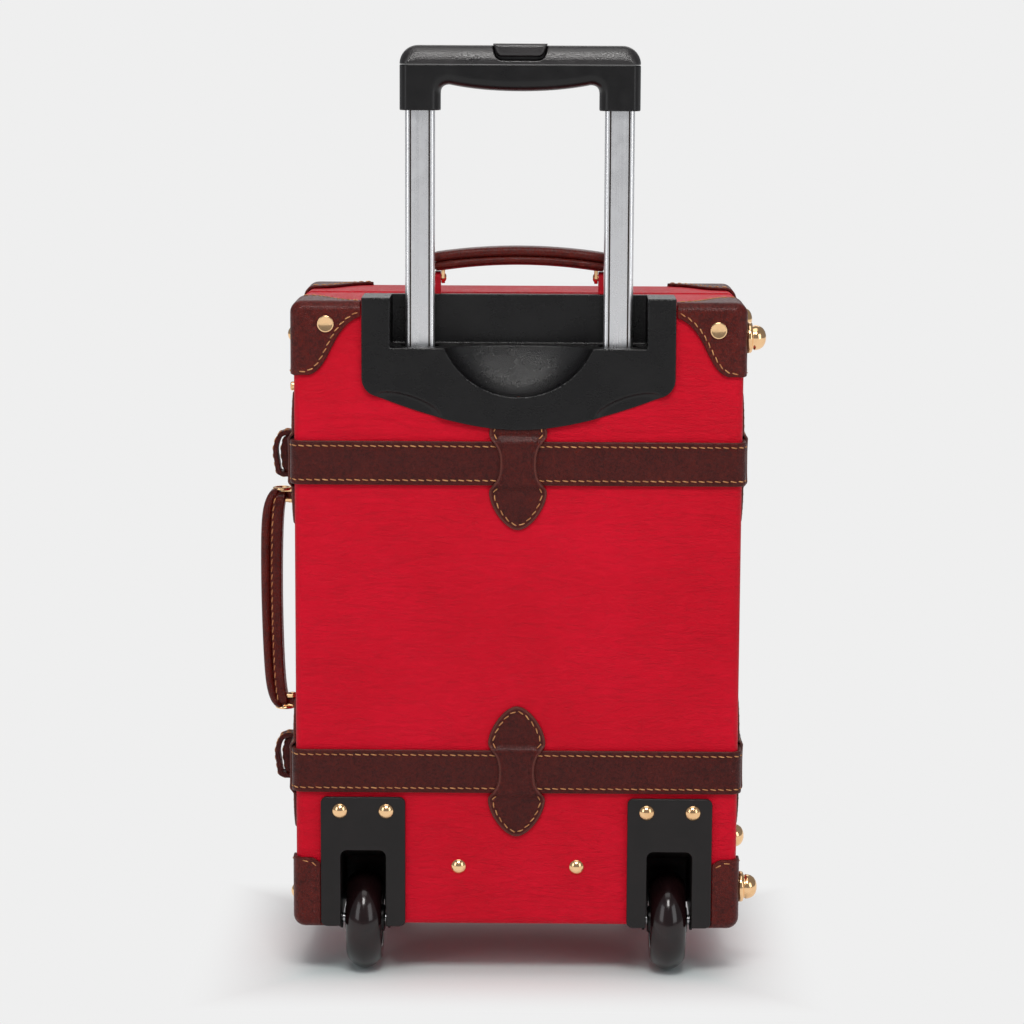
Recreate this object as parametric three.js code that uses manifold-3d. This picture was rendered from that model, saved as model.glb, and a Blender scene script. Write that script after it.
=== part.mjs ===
// A hard shell trolley suitcase that stands on two wheels and two feet.
// Millimetres, +Z up. The pieces are laid out with the back face of the case at y = 0, the case's
// middle at x = 0 and the floor at z = 0; the finished group is then centred over its own footprint.
// -X is the side that opens, +X is the side with the lid's hinge, +Y is the lid.

import * as THREE from 'three';
import { mergeVertices } from 'three/addons/utils/BufferGeometryUtils.js';
import Module from 'manifold-3d';

const wasm = await Module();
wasm.setup();

// Driving dimensions: the case
const CASE_WIDTH = 356;
const CASE_HEIGHT = 504;
const BASE_DEPTH = 118;
const LID_DEPTH = 82;
const GROUND_CLEARANCE = 44;
const SHELL_WALL = 3;
const CORNER_RADIUS = 14;
const EDGE_RADIUS = 6;
const FIT_GAP = 0.3;

// Zip and linings
const ZIP_GAP = 8;
const ZIP_TAPE_WIDTH = 14;
const ZIP_TAPE_THICKNESS = 1.2;
const LINING_THICKNESS = 1.5;
const LINING_SETBACK = 2;
const SLIDER_HEIGHT = 10;
const YOKE_HEIGHT = 8;
const SLIDER_PROUD = 3.5;
const UPPER_SLIDER_ABOVE_BELT = 22;
const LOWER_SLIDER_ABOVE_BELT = 22;
const PULL_LENGTH = 18;
const PULL_WIDTH = 7;
const PULL_THICKNESS = 1.8;
const PULL_PIVOT_RISE = 6.2;
const PULL_EYE_WALL = 1;
const PULL_CORNER_RADIUS = 3;
const YOKE_THICKNESS = 2.4;
const YOKE_PLAY = 0.5;

// Leather corners
const LEATHER_THICKNESS = 2.4;
const CORNER_SPAN_WIDE = 56;
const CORNER_SPAN_TALL = 60;
const BASE_CORNER_SPAN_DEEP = 58;
const LID_CORNER_SPAN_DEEP = 52;

// Belts, their keepers and the straps over the opening
const BELT_WIDTH = 35;
const BELT_THICKNESS = 3;
const UPPER_BELT_DROP = 125.7;
const LOWER_BELT_RISE = 128;
const KEEPER_WIDTH = 46;
const KEEPER_WAIST = 30;
const KEEPER_HEIGHT = 107;
const KEEPER_THICKNESS = 2.2;
const KEEPER_RAMP = 4;
const KEEPER_RAMP_SHIFT = 3.6;
const SIDE_KEEPER_DEPTH = 45;
const BELT_END_BEFORE_HINGE = 16;
const STRAP_LENGTH = 102;
const STRAP_REACH_ON_LID = 32;
const STRAP_LOOP_PROUD = 21;
const STRAP_LOOP_OVERHANG = 3;
const STRAP_LOOP_WIDTH = 14;
const STRAP_LOOP_INSET = 2;
const STRAP_LOOP_THICKNESS = 2.6;
const STRAP_LOOP_BULGE = 1.3;
const STRAP_LIFT = 0.2;
const STRAP_CLEARANCE = 2;

// Hinge strip
const HINGE_STRIP_THICKNESS = 1.5;
const HINGE_STRIP_WIDTH = 13.7;
const HINGE_STRIP_MARGIN = 18;

// Handle plate with its pocket and finger bowl
const PLATE_SIDE_MARGIN = 54;
const PLATE_THICKNESS = 3.7;
const PLATE_RISE = 5.5;
const PLATE_SIDE_DROP = 58;
const PLATE_CORNER_RADIUS = 15;
const PLATE_LOWEST_DROP = 99;
const PLATE_BEVEL = 1;
const PLATE_FLANGE_DEPTH = 42;
const POCKET_SIDE_MARGIN = 22.3;
const POCKET_BACK = 36;
const POCKET_DROP = 34;
const POCKET_WALL = 2.5;
const BOWL_TUBE_MARGIN = 14.95;
const BOWL_DEPTH = 30;
const BOWL_BOTTOM_DROP = 72.6;
const BOWL_WALL = 2.4;

// Telescopic handle
const TUBE_INSET = 23.05;
const TUBE_DEPTH_POSITION = 22;
const UPPER_TUBE_WIDTH = 23.3;
const UPPER_TUBE_DEPTH = 14;
const TUBE_WALL = 1.2;
const TUBE_CORNER = 4.5;
const TUBE_CLEARANCE = 0.3;
const HANDLE_EXTENSION = 185.4;
const UPPER_TUBE_LENGTH = 445;
const MIDDLE_TUBE_LENGTH = 428;
const MIDDLE_TUBE_TOP_DROP = 42;
const OUTER_TUBE_LENGTH = 436;
const OUTER_TUBE_TOP_DROP = 38;
const SOCKET_DEPTH = 8;
const GRIP_OVERHANG = 16.05;
const GRIP_LEG_WIDTH = 32.3;
const GRIP_LEG_LENGTH = 20;
const GRIP_HEIGHT = 50.7;
const GRIP_DEPTH = 27;
const GRIP_CORNER_RADIUS = 14.5;
const GRIP_EDGE_RADIUS = 6;
const GRIP_BELLY = 5;
const GRIP_SEAM_DROP = 15;
const BUTTON_WIDTH = 43;
const BUTTON_FOOT_WIDTH = 36;
const BUTTON_HEIGHT = 10.3;
const BUTTON_RISE = 1.4;
const BUTTON_TRAVEL = 2.5;
const BUTTON_SIDE_GAP = 0.4;

// Bracket under the outer tubes
const BRACKET_THICKNESS = 11;
const BRACKET_OVERHANG = 2;
const BRACKET_TAB_WIDTH = 120;
const BRACKET_TAB_HEIGHT = 44;
const BRACKET_TAB_THICKNESS = 2.6;

// Wheels and their housings
const WHEEL_RADIUS = 41;
const WHEEL_INSET = 54.3;
const AXLE_DEPTH_POSITION = 30;
const TYRE_HALF_WIDTH = 13.4;
const HUB_RADIUS = 24;
const HUB_HALF_WIDTH = 12.6;
const HUB_BOSS_RADIUS = 11;
const HUB_BOSS_HALF_WIDTH = 16.4;
const AXLE_RADIUS = 4;
const AXLE_HEAD_RADIUS = 6.5;
const AXLE_HEAD_THICKNESS = 2;
const HOUSING_WIDTH = 68.3;
const HOUSING_HEIGHT = 107.4;
const HOUSING_DROP = 0.8;
const HOUSING_THICKNESS = 3.7;
const HOUSING_CORNER_RADIUS = 9;
const WELL_WIDTH = 36.6;
const WELL_WALL = 2.4;
const WELL_MOUTH_HEIGHT = 63.4;
const MOUTH_CORNER_RADIUS = 7;
const WHEEL_CLEARANCE = 4.5;
const EAR_RADIUS = 8.5;
const EAR_RISE = 4;
const JOIN_OVERLAP = 0.2;

// Feet
const SIDE_FOOT_RADIUS = 12.4;
const SIDE_FOOT_HEIGHT = 15.2;
const SIDE_FOOT_CORNER_DROP = 26.4;
const SIDE_FOOT_CORNER_RISE = 28.8;
const BASE_FOOT_DEPTH = 18;
const LID_FOOT_FROM_FRONT = 18;
const STAND_FOOT_RADIUS = 14;
const STAND_FOOT_INSET = 73;
const STAND_FOOT_FROM_FRONT = 26;

// Carry handles
const CARRY_DEPTH_POSITION = 74;
const TOP_HANDLE_SPAN = 132;
const TOP_HANDLE_PIVOT_RISE = 16;
const TOP_HANDLE_ARCH = 6;
const TOP_HANDLE_THICKNESS = 15;
const SIDE_HANDLE_SPAN = 172;
const SIDE_HANDLE_MIDDLE_DROP = 248.5;
const SIDE_HANDLE_PIVOT_PROUD = 8;
const SIDE_HANDLE_ARCH = 3;
const SIDE_HANDLE_THICKNESS = 17;
const CARRY_WIDTH = 22;
const CARRY_OVERHANG = 6;
const CARRY_PIN_RADIUS = 2.5;
const CARRY_PIN_CLEARANCE = 0.3;
const CARRY_EAR_THICKNESS = 3;
const CARRY_EAR_RADIUS = 5;
const CARRY_TAB_THICKNESS = 4.6;
const CARRY_TAB_BASE = 16;

// Worked out from the driving dimensions
const CASE_DEPTH = BASE_DEPTH + LID_DEPTH;
const CASE_BOTTOM = GROUND_CLEARANCE;
const CASE_TOP = GROUND_CLEARANCE + CASE_HEIGHT;
const CASE_MIDDLE = GROUND_CLEARANCE + CASE_HEIGHT / 2;
const SIDE = CASE_WIDTH / 2;
const PLATE_WIDTH = CASE_WIDTH - 2 * PLATE_SIDE_MARGIN;
const POCKET_WIDTH = PLATE_WIDTH - 2 * POCKET_SIDE_MARGIN;
const TUBE_X = POCKET_WIDTH / 2 - TUBE_INSET;
const GRIP_WIDTH = 2 * (TUBE_X + GRIP_OVERHANG);
const BOWL_RADIUS = TUBE_X - BOWL_TUBE_MARGIN;
const STAND_FOOT_X = SIDE - STAND_FOOT_INSET;
const LEATHER_OUTSIDE = FIT_GAP + LEATHER_THICKNESS;
const BELT_OUTSIDE = FIT_GAP + BELT_THICKNESS;
const UPPER_BELT = CASE_TOP - UPPER_BELT_DROP;
const LOWER_BELT = CASE_BOTTOM + LOWER_BELT_RISE;
const TAPE_OUTSIDE = -SHELL_WALL - FIT_GAP;
const LINING_OUTSIDE = TAPE_OUTSIDE - ZIP_TAPE_THICKNESS - FIT_GAP;
const POCKET_FLOOR = CASE_TOP - POCKET_DROP;
const PLATE_TOP = CASE_TOP + PLATE_RISE;
const LINING_BACK = PLATE_FLANGE_DEPTH;
const WHEEL_X = SIDE - WHEEL_INSET;
const AXLE_HEIGHT = WHEEL_RADIUS;
const WELL_OUTER_HALF = WELL_WIDTH / 2 + WELL_WALL;
const AXLE_HALF_LENGTH = WELL_OUTER_HALF + FIT_GAP + AXLE_HEAD_THICKNESS;
const WELL_DEPTH = AXLE_DEPTH_POSITION + WHEEL_RADIUS + WHEEL_CLEARANCE;
const GRIP_LEG_BOTTOM = POCKET_FLOOR + HANDLE_EXTENSION;
const GRIP_TOP = GRIP_LEG_BOTTOM + GRIP_HEIGHT;
const GRIP_SEAM = GRIP_TOP - GRIP_SEAM_DROP;
const STRAP_PIVOT_DEPTH = BASE_DEPTH + STRAP_REACH_ON_LID;
const FAR = 2000;

// Helpers: extruded shapes, turned shapes and cuts

function toSolid(geometry) {
  const bare = geometry.clone();
  bare.deleteAttribute('normal');
  bare.deleteAttribute('uv');
  const merged = mergeVertices(bare, 1e-4);
  const vertProperties = new Float32Array(merged.attributes.position.array);
  const triVerts = new Uint32Array(merged.index.array);
  return new wasm.Manifold(new wasm.Mesh({ numProp: 3, vertProperties, triVerts }));
}

function toGeometry(solid) {
  const mesh = solid.getMesh();
  const geometry = new THREE.BufferGeometry();
  geometry.setAttribute('position', new THREE.Float32BufferAttribute(mesh.vertProperties, 3));
  geometry.setIndex(new THREE.Uint32BufferAttribute(mesh.triVerts, 1));
  geometry.computeVertexNormals();
  return geometry;
}

function box(low, high) {
  const size = high.map((value, i) => value - low[i]);
  const geometry = new THREE.BoxGeometry(...size);
  geometry.translate(...low.map((value, i) => value + size[i] / 2));
  return toSolid(geometry);
}

function extrude(shape, length, smoothness, bevel = 0, steps = 2) {
  return new THREE.ExtrudeGeometry(shape, {
    depth: length - 2 * bevel,
    bevelEnabled: bevel > 0,
    bevelThickness: bevel,
    bevelSize: bevel,
    bevelOffset: -bevel,
    bevelSegments: steps,
    curveSegments: smoothness,
  }).translate(0, 0, bevel);
}

// A shape drawn in x and z, extruded from y = start to y = end.
function alongY(shape, start, end, smoothness = 3, bevel = 0, steps = 2) {
  const geometry = extrude(shape, end - start, smoothness, bevel, steps);
  return toSolid(geometry.rotateX(Math.PI / 2).translate(0, end, 0));
}

// A shape drawn in y and z, extruded from x = start to x = end.
function alongX(shape, start, end, smoothness = 3, bevel = 0) {
  const geometry = extrude(shape, end - start, smoothness, bevel);
  const turn = new THREE.Matrix4().makeBasis(
    new THREE.Vector3(0, 1, 0),
    new THREE.Vector3(0, 0, 1),
    new THREE.Vector3(1, 0, 0),
  );
  return toSolid(geometry.applyMatrix4(turn).translate(start, 0, 0));
}

// A shape drawn in x and y, extruded from z = start to z = end.
function alongZ(shape, start, end, smoothness = 3) {
  return toSolid(extrude(shape, end - start, smoothness).translate(0, 0, start));
}

function roundedRectangle(width, height, radius, centreX = 0, centreY = 0) {
  const halfWidth = width / 2;
  const halfHeight = height / 2;
  const shape = new THREE.Shape();
  const corners = [
    [centreX + halfWidth - radius, centreY - halfHeight + radius, -Math.PI / 2],
    [centreX + halfWidth - radius, centreY + halfHeight - radius, 0],
    [centreX - halfWidth + radius, centreY + halfHeight - radius, Math.PI / 2],
    [centreX - halfWidth + radius, centreY - halfHeight + radius, Math.PI],
  ];
  shape.moveTo(centreX - halfWidth + radius, centreY - halfHeight);
  for (const [x, y, angle] of corners) {
    shape.absarc(x, y, radius, angle, angle + Math.PI / 2, false);
  }
  return shape;
}

function polygon(points) {
  return new THREE.Shape(points.map(([x, y]) => new THREE.Vector2(x, y)));
}

// A turned solid: profile points are [radius, distance along the axis].
function turned(profile, segments) {
  const points = profile.map(([radius, height]) => new THREE.Vector2(radius, height));
  return toSolid(new THREE.LatheGeometry(points, segments).rotateX(Math.PI / 2));
}

function turnedAlongX(profile, segments) {
  return turned(profile, segments).rotate([0, 90, 0]);
}

// The whole case as one block, grown outwards by the given amount (or shrunk, when negative).
function caseBlock(growth) {
  const outline = roundedRectangle(
    CASE_WIDTH + 2 * growth,
    CASE_HEIGHT + 2 * growth,
    CORNER_RADIUS + growth,
    0,
    CASE_MIDDLE,
  );
  return alongY(outline, -growth, CASE_DEPTH + growth, 3, Math.max(EDGE_RADIUS + growth, 1));
}

// The part of a solid between two depths.
function slice(solid, start, end) {
  return solid.intersect(box([-FAR, start, -FAR], [FAR, end, FAR]));
}

const BASE_RANGE = [-FAR, BASE_DEPTH - ZIP_GAP / 2];
const LID_RANGE = [BASE_DEPTH + ZIP_GAP / 2, FAR];

// Handle plate: outline, pocket and finger bowl

function plateOutline(growth = 0) {
  const half = PLATE_WIDTH / 2 + growth;
  const sideEnd = CASE_TOP - PLATE_SIDE_DROP;
  const radius = PLATE_CORNER_RADIUS + growth;
  const cornerX = half - radius;
  const lowest = CASE_TOP - PLATE_LOWEST_DROP - growth;
  const shape = new THREE.Shape();
  shape.moveTo(half, PLATE_TOP + growth);
  shape.lineTo(-half, PLATE_TOP + growth);
  shape.lineTo(-half, sideEnd);
  shape.absarc(-cornerX, sideEnd, radius, Math.PI, 1.38 * Math.PI, false);
  shape.quadraticCurveTo(-cornerX * 0.42, lowest, 0, lowest);
  shape.quadraticCurveTo(cornerX * 0.42, lowest, cornerX + radius * Math.cos(1.62 * Math.PI),
    sideEnd + radius * Math.sin(1.62 * Math.PI));
  shape.absarc(cornerX, sideEnd, radius, 1.62 * Math.PI, 2 * Math.PI, false);
  return shape;
}

function bowl(growth) {
  const ball = new THREE.SphereGeometry(1, 20, 12);
  ball.scale(BOWL_RADIUS + growth, BOWL_DEPTH + growth, BOWL_RADIUS + growth);
  ball.translate(0, -PLATE_THICKNESS, CASE_TOP - BOWL_BOTTOM_DROP + BOWL_RADIUS);
  return toSolid(ball);
}

function tubeShape(growth, centreX) {
  return roundedRectangle(
    UPPER_TUBE_WIDTH + 2 * growth,
    UPPER_TUBE_DEPTH + 2 * growth,
    TUBE_CORNER + growth,
    centreX,
    TUBE_DEPTH_POSITION,
  );
}

const MIDDLE_TUBE_GROWTH = TUBE_CLEARANCE + TUBE_WALL;
const OUTER_TUBE_GROWTH = 2 * MIDDLE_TUBE_GROWTH;

function pocketBody() {
  const half = POCKET_WIDTH / 2 + POCKET_WALL;
  const floor = POCKET_FLOOR - POCKET_WALL;
  const behindFace = -PLATE_THICKNESS / 2;
  const trough = box([-half, behindFace, floor], [half, POCKET_BACK + POCKET_WALL, PLATE_TOP]);
  const bowlShell = bowl(BOWL_WALL).intersect(
    box([-half, behindFace, CASE_BOTTOM], [half, POCKET_BACK + POCKET_WALL, POCKET_FLOOR - 1]),
  );
  return trough.add(bowlShell);
}

function handlePlate() {
  const half = PLATE_WIDTH / 2;
  const front = alongY(plateOutline(), -FIT_GAP - PLATE_THICKNESS, -FIT_GAP, 5, PLATE_BEVEL, 1);
  const flange = box(
    [-half, -FIT_GAP - PLATE_BEVEL, CASE_TOP + FIT_GAP],
    [half, PLATE_FLANGE_DEPTH - FIT_GAP, PLATE_TOP],
  );
  const pocket = box(
    [-POCKET_WIDTH / 2, -FAR, POCKET_FLOOR],
    [POCKET_WIDTH / 2, POCKET_BACK, FAR],
  );
  let plate = front.add(flange).add(pocketBody()).subtract(pocket);
  plate = plate.subtract(bowl(0));
  for (const side of [-1, 1]) {
    const hole = tubeShape(MIDDLE_TUBE_GROWTH + FIT_GAP, side * TUBE_X);
    plate = plate.subtract(alongZ(hole, POCKET_FLOOR - 2 * POCKET_WALL, POCKET_FLOOR + 1));
  }
  return plate;
}

// Wheel housings

function wellShape(growth) {
  const front = WELL_DEPTH + growth;
  const wheelTop = AXLE_HEIGHT + WHEEL_RADIUS + WHEEL_CLEARANCE + growth;
  const mouthTop = CASE_BOTTOM + WELL_MOUTH_HEIGHT + growth;
  const bottom = CASE_BOTTOM - HOUSING_DROP;
  return polygon([
    [-HOUSING_THICKNESS, bottom],
    [front, bottom],
    [front, AXLE_HEIGHT + WHEEL_RADIUS / 2],
    [AXLE_DEPTH_POSITION + WHEEL_RADIUS * 0.7 + growth / 2, wheelTop],
    [-HOUSING_THICKNESS, mouthTop],
  ]);
}

function wheelHousing(side) {
  const x = side * WHEEL_X;
  const bottom = CASE_BOTTOM - HOUSING_DROP;
  const middle = bottom + HOUSING_HEIGHT / 2;
  const outline = roundedRectangle(HOUSING_WIDTH, HOUSING_HEIGHT, HOUSING_CORNER_RADIUS, x, middle);
  const plate = alongY(outline, -FIT_GAP - HOUSING_THICKNESS, -FIT_GAP, 3, PLATE_BEVEL, 1);
  const outerWell = alongX(wellShape(WELL_WALL), x - WELL_OUTER_HALF, x + WELL_OUTER_HALF);
  const behindPlate = slice(outerWell, -FIT_GAP - JOIN_OVERLAP, FAR);
  const ear = rodAlongX(EAR_RADIUS, WELL_OUTER_HALF)
    .translate([x, AXLE_DEPTH_POSITION, AXLE_HEIGHT]);
  const earTop = box(
    [x - WELL_OUTER_HALF, AXLE_DEPTH_POSITION - EAR_RADIUS, AXLE_HEIGHT],
    [x + WELL_OUTER_HALF, AXLE_DEPTH_POSITION + EAR_RADIUS, CASE_BOTTOM + EAR_RISE],
  );
  const halfWell = WELL_WIDTH / 2;
  const inside = alongX(wellShape(0), x - halfWell, x + halfWell);
  const below = box([x - halfWell, -FAR, -FAR], [x + halfWell, WELL_DEPTH, bottom + 2]);
  const mouth = roundedRectangle(WELL_WIDTH, 2 * WELL_MOUTH_HEIGHT, MOUTH_CORNER_RADIUS, x, bottom);
  const mouthCut = alongY(mouth, -FAR, 0, 3);
  const bore = rodAlongX(AXLE_RADIUS + FIT_GAP, HOUSING_WIDTH / 2)
    .translate([x, AXLE_DEPTH_POSITION, AXLE_HEIGHT]);
  return plate.add(behindPlate).add(ear).add(earTop)
    .subtract(inside).subtract(below).subtract(mouthCut).subtract(bore);
}

function rodAlongX(radius, halfLength) {
  return turnedAlongX(
    [[0, -halfLength], [radius, -halfLength], [radius, halfLength], [0, halfLength]],
    16,
  );
}

// Room that a housing takes in the shell, the lining and the leather.
function housingRoom(side, gap) {
  const x = side * WHEEL_X;
  const halfWell = AXLE_HALF_LENGTH + gap;
  const well = alongX(wellShape(WELL_WALL + gap), x - halfWell, x + halfWell);
  const ears = box(
    [x - halfWell, AXLE_DEPTH_POSITION - EAR_RADIUS - gap, 0],
    [x + halfWell, AXLE_DEPTH_POSITION + EAR_RADIUS + gap, CASE_BOTTOM + 2 * EAR_RISE],
  );
  const under = box([x - halfWell, -FAR, -FAR], [x + halfWell, WELL_DEPTH + WELL_WALL + gap,
    CASE_BOTTOM + 1]);
  return well.add(ears).add(under);
}

function housingPlateRoom(side, gap) {
  const x = side * WHEEL_X;
  const half = HOUSING_WIDTH / 2 + gap;
  const top = CASE_BOTTOM - HOUSING_DROP + HOUSING_HEIGHT + gap;
  return box([x - half, -FAR, -FAR], [x + half, JOIN_OVERLAP, top]);
}

function axle() {
  const shaftEnd = AXLE_HALF_LENGTH - AXLE_HEAD_THICKNESS;
  return turnedAlongX(
    [[0, -AXLE_HALF_LENGTH], [AXLE_HEAD_RADIUS, -AXLE_HALF_LENGTH], [AXLE_HEAD_RADIUS, -shaftEnd],
      [AXLE_RADIUS, -shaftEnd], [AXLE_RADIUS, shaftEnd], [AXLE_HEAD_RADIUS, shaftEnd],
      [AXLE_HEAD_RADIUS, AXLE_HALF_LENGTH], [0, AXLE_HALF_LENGTH]],
    16,
  );
}

function tyre() {
  const inner = HUB_RADIUS + FIT_GAP;
  const bead = TYRE_HALF_WIDTH;
  const half = [[inner, -bead], [inner + 6, -bead - 0.8], [WHEEL_RADIUS - 5, -bead * 0.78],
    [WHEEL_RADIUS - 1.2, -bead * 0.36], [WHEEL_RADIUS, 0]];
  const mirrored = half.slice(0, -1).reverse().map(([radius, x]) => [radius, -x]);
  return turnedAlongX([...half, ...mirrored, half[0]], 32);
}

function hub() {
  const bore = AXLE_RADIUS + 0.2;
  const half = [[bore, -HUB_BOSS_HALF_WIDTH], [HUB_BOSS_RADIUS, -HUB_BOSS_HALF_WIDTH],
    [HUB_BOSS_RADIUS, -HUB_HALF_WIDTH + 3], [HUB_RADIUS - 3, -HUB_HALF_WIDTH + 3],
    [HUB_RADIUS - 3, -HUB_HALF_WIDTH], [HUB_RADIUS, -HUB_HALF_WIDTH]];
  const mirrored = half.slice().reverse().map(([radius, x]) => [radius, -x]);
  return turnedAlongX([...half, ...mirrored, half[0]], 24);
}

// Shells, linings and zip tapes

function shell(range) {
  return slice(caseBlock(0).subtract(caseBlock(-SHELL_WALL)), ...range);
}

function baseShell() {
  const gap = FIT_GAP;
  const half = POCKET_WIDTH / 2 + POCKET_WALL + gap;
  const pocketRoom = box(
    [-half, -FAR, POCKET_FLOOR - POCKET_WALL - gap],
    [half, POCKET_BACK + POCKET_WALL + gap, FAR],
  ).add(bowl(BOWL_WALL + gap));
  let solid = shell(BASE_RANGE).subtract(pocketRoom);
  for (const side of [-1, 1]) {
    solid = solid.subtract(housingRoom(side, gap));
  }
  return solid;
}

function lining(start, end, opensForward) {
  const outside = roundedRectangle(
    CASE_WIDTH + 2 * LINING_OUTSIDE,
    CASE_HEIGHT + 2 * LINING_OUTSIDE,
    CORNER_RADIUS + LINING_OUTSIDE,
    0,
    CASE_MIDDLE,
  );
  const inset = LINING_OUTSIDE - LINING_THICKNESS;
  const inside = roundedRectangle(
    CASE_WIDTH + 2 * inset,
    CASE_HEIGHT + 2 * inset,
    CORNER_RADIUS + inset,
    0,
    CASE_MIDDLE,
  );
  const from = opensForward ? start + LINING_THICKNESS : start - 1;
  const to = opensForward ? end + 1 : end - LINING_THICKNESS;
  return alongY(outside, start, end).subtract(alongY(inside, from, to));
}

function baseLining() {
  let solid = lining(LINING_BACK, BASE_DEPTH - ZIP_GAP / 2 - LINING_SETBACK, true);
  for (const side of [-1, 1]) {
    solid = solid.subtract(housingRoom(side, FIT_GAP));
  }
  return solid;
}

function lidLining() {
  const start = BASE_DEPTH + ZIP_GAP / 2 + LINING_SETBACK;
  return lining(start, CASE_DEPTH - EDGE_RADIUS - 1, false);
}

function zipTape(start, end) {
  const thin = TAPE_OUTSIDE - ZIP_TAPE_THICKNESS;
  const band = slice(caseBlock(TAPE_OUTSIDE).subtract(caseBlock(thin)), start, end);
  const hingeSide = box([SIDE - CORNER_RADIUS, -FAR, -FAR], [FAR, FAR, FAR]);
  return band.subtract(hingeSide);
}

// Leather corners

// The outline of a corner cap: u runs inwards from the case's edge, v runs away from the corner.
function cornerOutline(spanU, spanV, toX, toY) {
  const place = (u, v) => new THREE.Vector2(toX(u), toY(v));
  const outside = -20;
  const curve = new THREE.CubicBezierCurve(
    place(spanU, 0.2 * spanV),
    place(0.5 * spanU, 0.38 * spanV),
    place(0.62 * spanU, spanV * 1.02),
    place(0.12 * spanU, spanV),
  );
  const points = [
    place(outside, outside),
    place(spanU, outside),
    ...curve.getPoints(7),
    place(outside, 0.9 * spanV),
  ];
  if (THREE.ShapeUtils.isClockWise(points)) {
    points.reverse();
  }
  return new THREE.Shape(points);
}

function leatherCorner(side, isTop, isLid) {
  const layer = caseBlock(LEATHER_OUTSIDE).subtract(caseBlock(FIT_GAP));
  const deep = isLid ? LID_CORNER_SPAN_DEEP : BASE_CORNER_SPAN_DEEP;
  const toX = (u) => side * (SIDE + LEATHER_OUTSIDE - u);
  const toZ = (v) => (isTop ? CASE_TOP + LEATHER_OUTSIDE - v : CASE_BOTTOM - LEATHER_OUTSIDE + v);
  const toY = (d) => (isLid ? CASE_DEPTH + LEATHER_OUTSIDE - d : d - LEATHER_OUTSIDE);
  const back = alongY(cornerOutline(CORNER_SPAN_WIDE, CORNER_SPAN_TALL, toX, toZ), -FAR, FAR);
  const flank = alongX(cornerOutline(deep, CORNER_SPAN_TALL, toY, toZ), -FAR, FAR);
  const cover = alongZ(cornerOutline(CORNER_SPAN_WIDE, deep, toX, toY), -FAR, FAR);
  let cap = layer.intersect(back).intersect(flank).intersect(cover);
  if (!isLid) {
    cap = cap.subtract(housingRoom(side, FIT_GAP)).subtract(housingPlateRoom(side, FIT_GAP));
    const half = PLATE_WIDTH / 2 + FIT_GAP;
    cap = cap.subtract(box([-half, -FAR, CASE_MIDDLE], [half, FAR, FAR]));
  }
  return cap;
}

// Belts, keepers and straps

function beltBand(height) {
  const layer = caseBlock(BELT_OUTSIDE).subtract(caseBlock(FIT_GAP));
  const half = BELT_WIDTH / 2;
  return layer.intersect(box([-FAR, -FAR, height - half], [FAR, FAR, height + half]));
}

const STRAP_TIP_DEPTH = STRAP_PIVOT_DEPTH - STRAP_LENGTH;

function baseBelt(height) {
  const openSide = box([-FAR, STRAP_TIP_DEPTH - STRAP_CLEARANCE, -FAR], [0, FAR, FAR]);
  return slice(beltBand(height), -FAR, BASE_DEPTH - BELT_END_BEFORE_HINGE).subtract(openSide);
}

function lidBelt(height) {
  const openSide = box([-FAR, -FAR, -FAR], [0, STRAP_PIVOT_DEPTH + STRAP_CLEARANCE, FAR]);
  return slice(beltBand(height), BASE_DEPTH + BELT_END_BEFORE_HINGE, FAR).subtract(openSide);
}

// A figure of eight patch, drawn flat: x across, y along.
function keeperOutline() {
  const half = KEEPER_WIDTH / 2;
  const waist = KEEPER_WAIST / 2;
  const tip = KEEPER_HEIGHT / 2;
  const shape = new THREE.Shape();
  shape.moveTo(waist, -0.22 * tip);
  shape.lineTo(waist, 0.22 * tip);
  shape.bezierCurveTo(waist, 0.34 * tip, half, 0.34 * tip, half, 0.53 * tip);
  shape.bezierCurveTo(half, 0.8 * tip, 0.45 * half, tip, 0, tip);
  shape.bezierCurveTo(-0.45 * half, tip, -half, 0.8 * tip, -half, 0.53 * tip);
  shape.bezierCurveTo(-half, 0.34 * tip, -waist, 0.34 * tip, -waist, 0.22 * tip);
  shape.lineTo(-waist, -0.22 * tip);
  shape.bezierCurveTo(-waist, -0.34 * tip, -half, -0.34 * tip, -half, -0.53 * tip);
  shape.bezierCurveTo(-half, -0.8 * tip, -0.45 * half, -tip, 0, -tip);
  shape.bezierCurveTo(0.45 * half, -tip, half, -0.8 * tip, half, -0.53 * tip);
  shape.bezierCurveTo(half, -0.34 * tip, waist, -0.34 * tip, waist, -0.22 * tip);
  return shape;
}

// The keeper lies flat on the shell at its two lobes and steps up over the belt at its waist.
// It is made lying behind the case's back face, with its middle at the origin.
function keeper() {
  const tip = KEEPER_HEIGHT / 2 + 1;
  const beltEdge = BELT_WIDTH / 2 + FIT_GAP;
  const ramp = beltEdge + KEEPER_RAMP;
  const rampStart = ramp - KEEPER_RAMP_SHIFT;
  const low = FIT_GAP;
  const high = BELT_OUTSIDE + FIT_GAP;
  const side = polygon([
    [-low, -tip], [-low, -rampStart], [-high, -beltEdge], [-high, beltEdge], [-low, rampStart],
    [-low, tip], [-low - KEEPER_THICKNESS, tip], [-low - KEEPER_THICKNESS, ramp],
    [-high - KEEPER_THICKNESS, beltEdge - 1], [-high - KEEPER_THICKNESS, -beltEdge + 1],
    [-low - KEEPER_THICKNESS, -ramp], [-low - KEEPER_THICKNESS, -tip],
  ]);
  const band = alongX(side, -KEEPER_WIDTH, KEEPER_WIDTH);
  return band.intersect(alongY(keeperOutline(), -FAR, FAR, 4));
}

function backKeeper(height) {
  const room = alongY(plateOutline(FIT_GAP), -FAR, FAR, 5);
  return keeper().translate([0, 0, height]).subtract(room);
}

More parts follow.
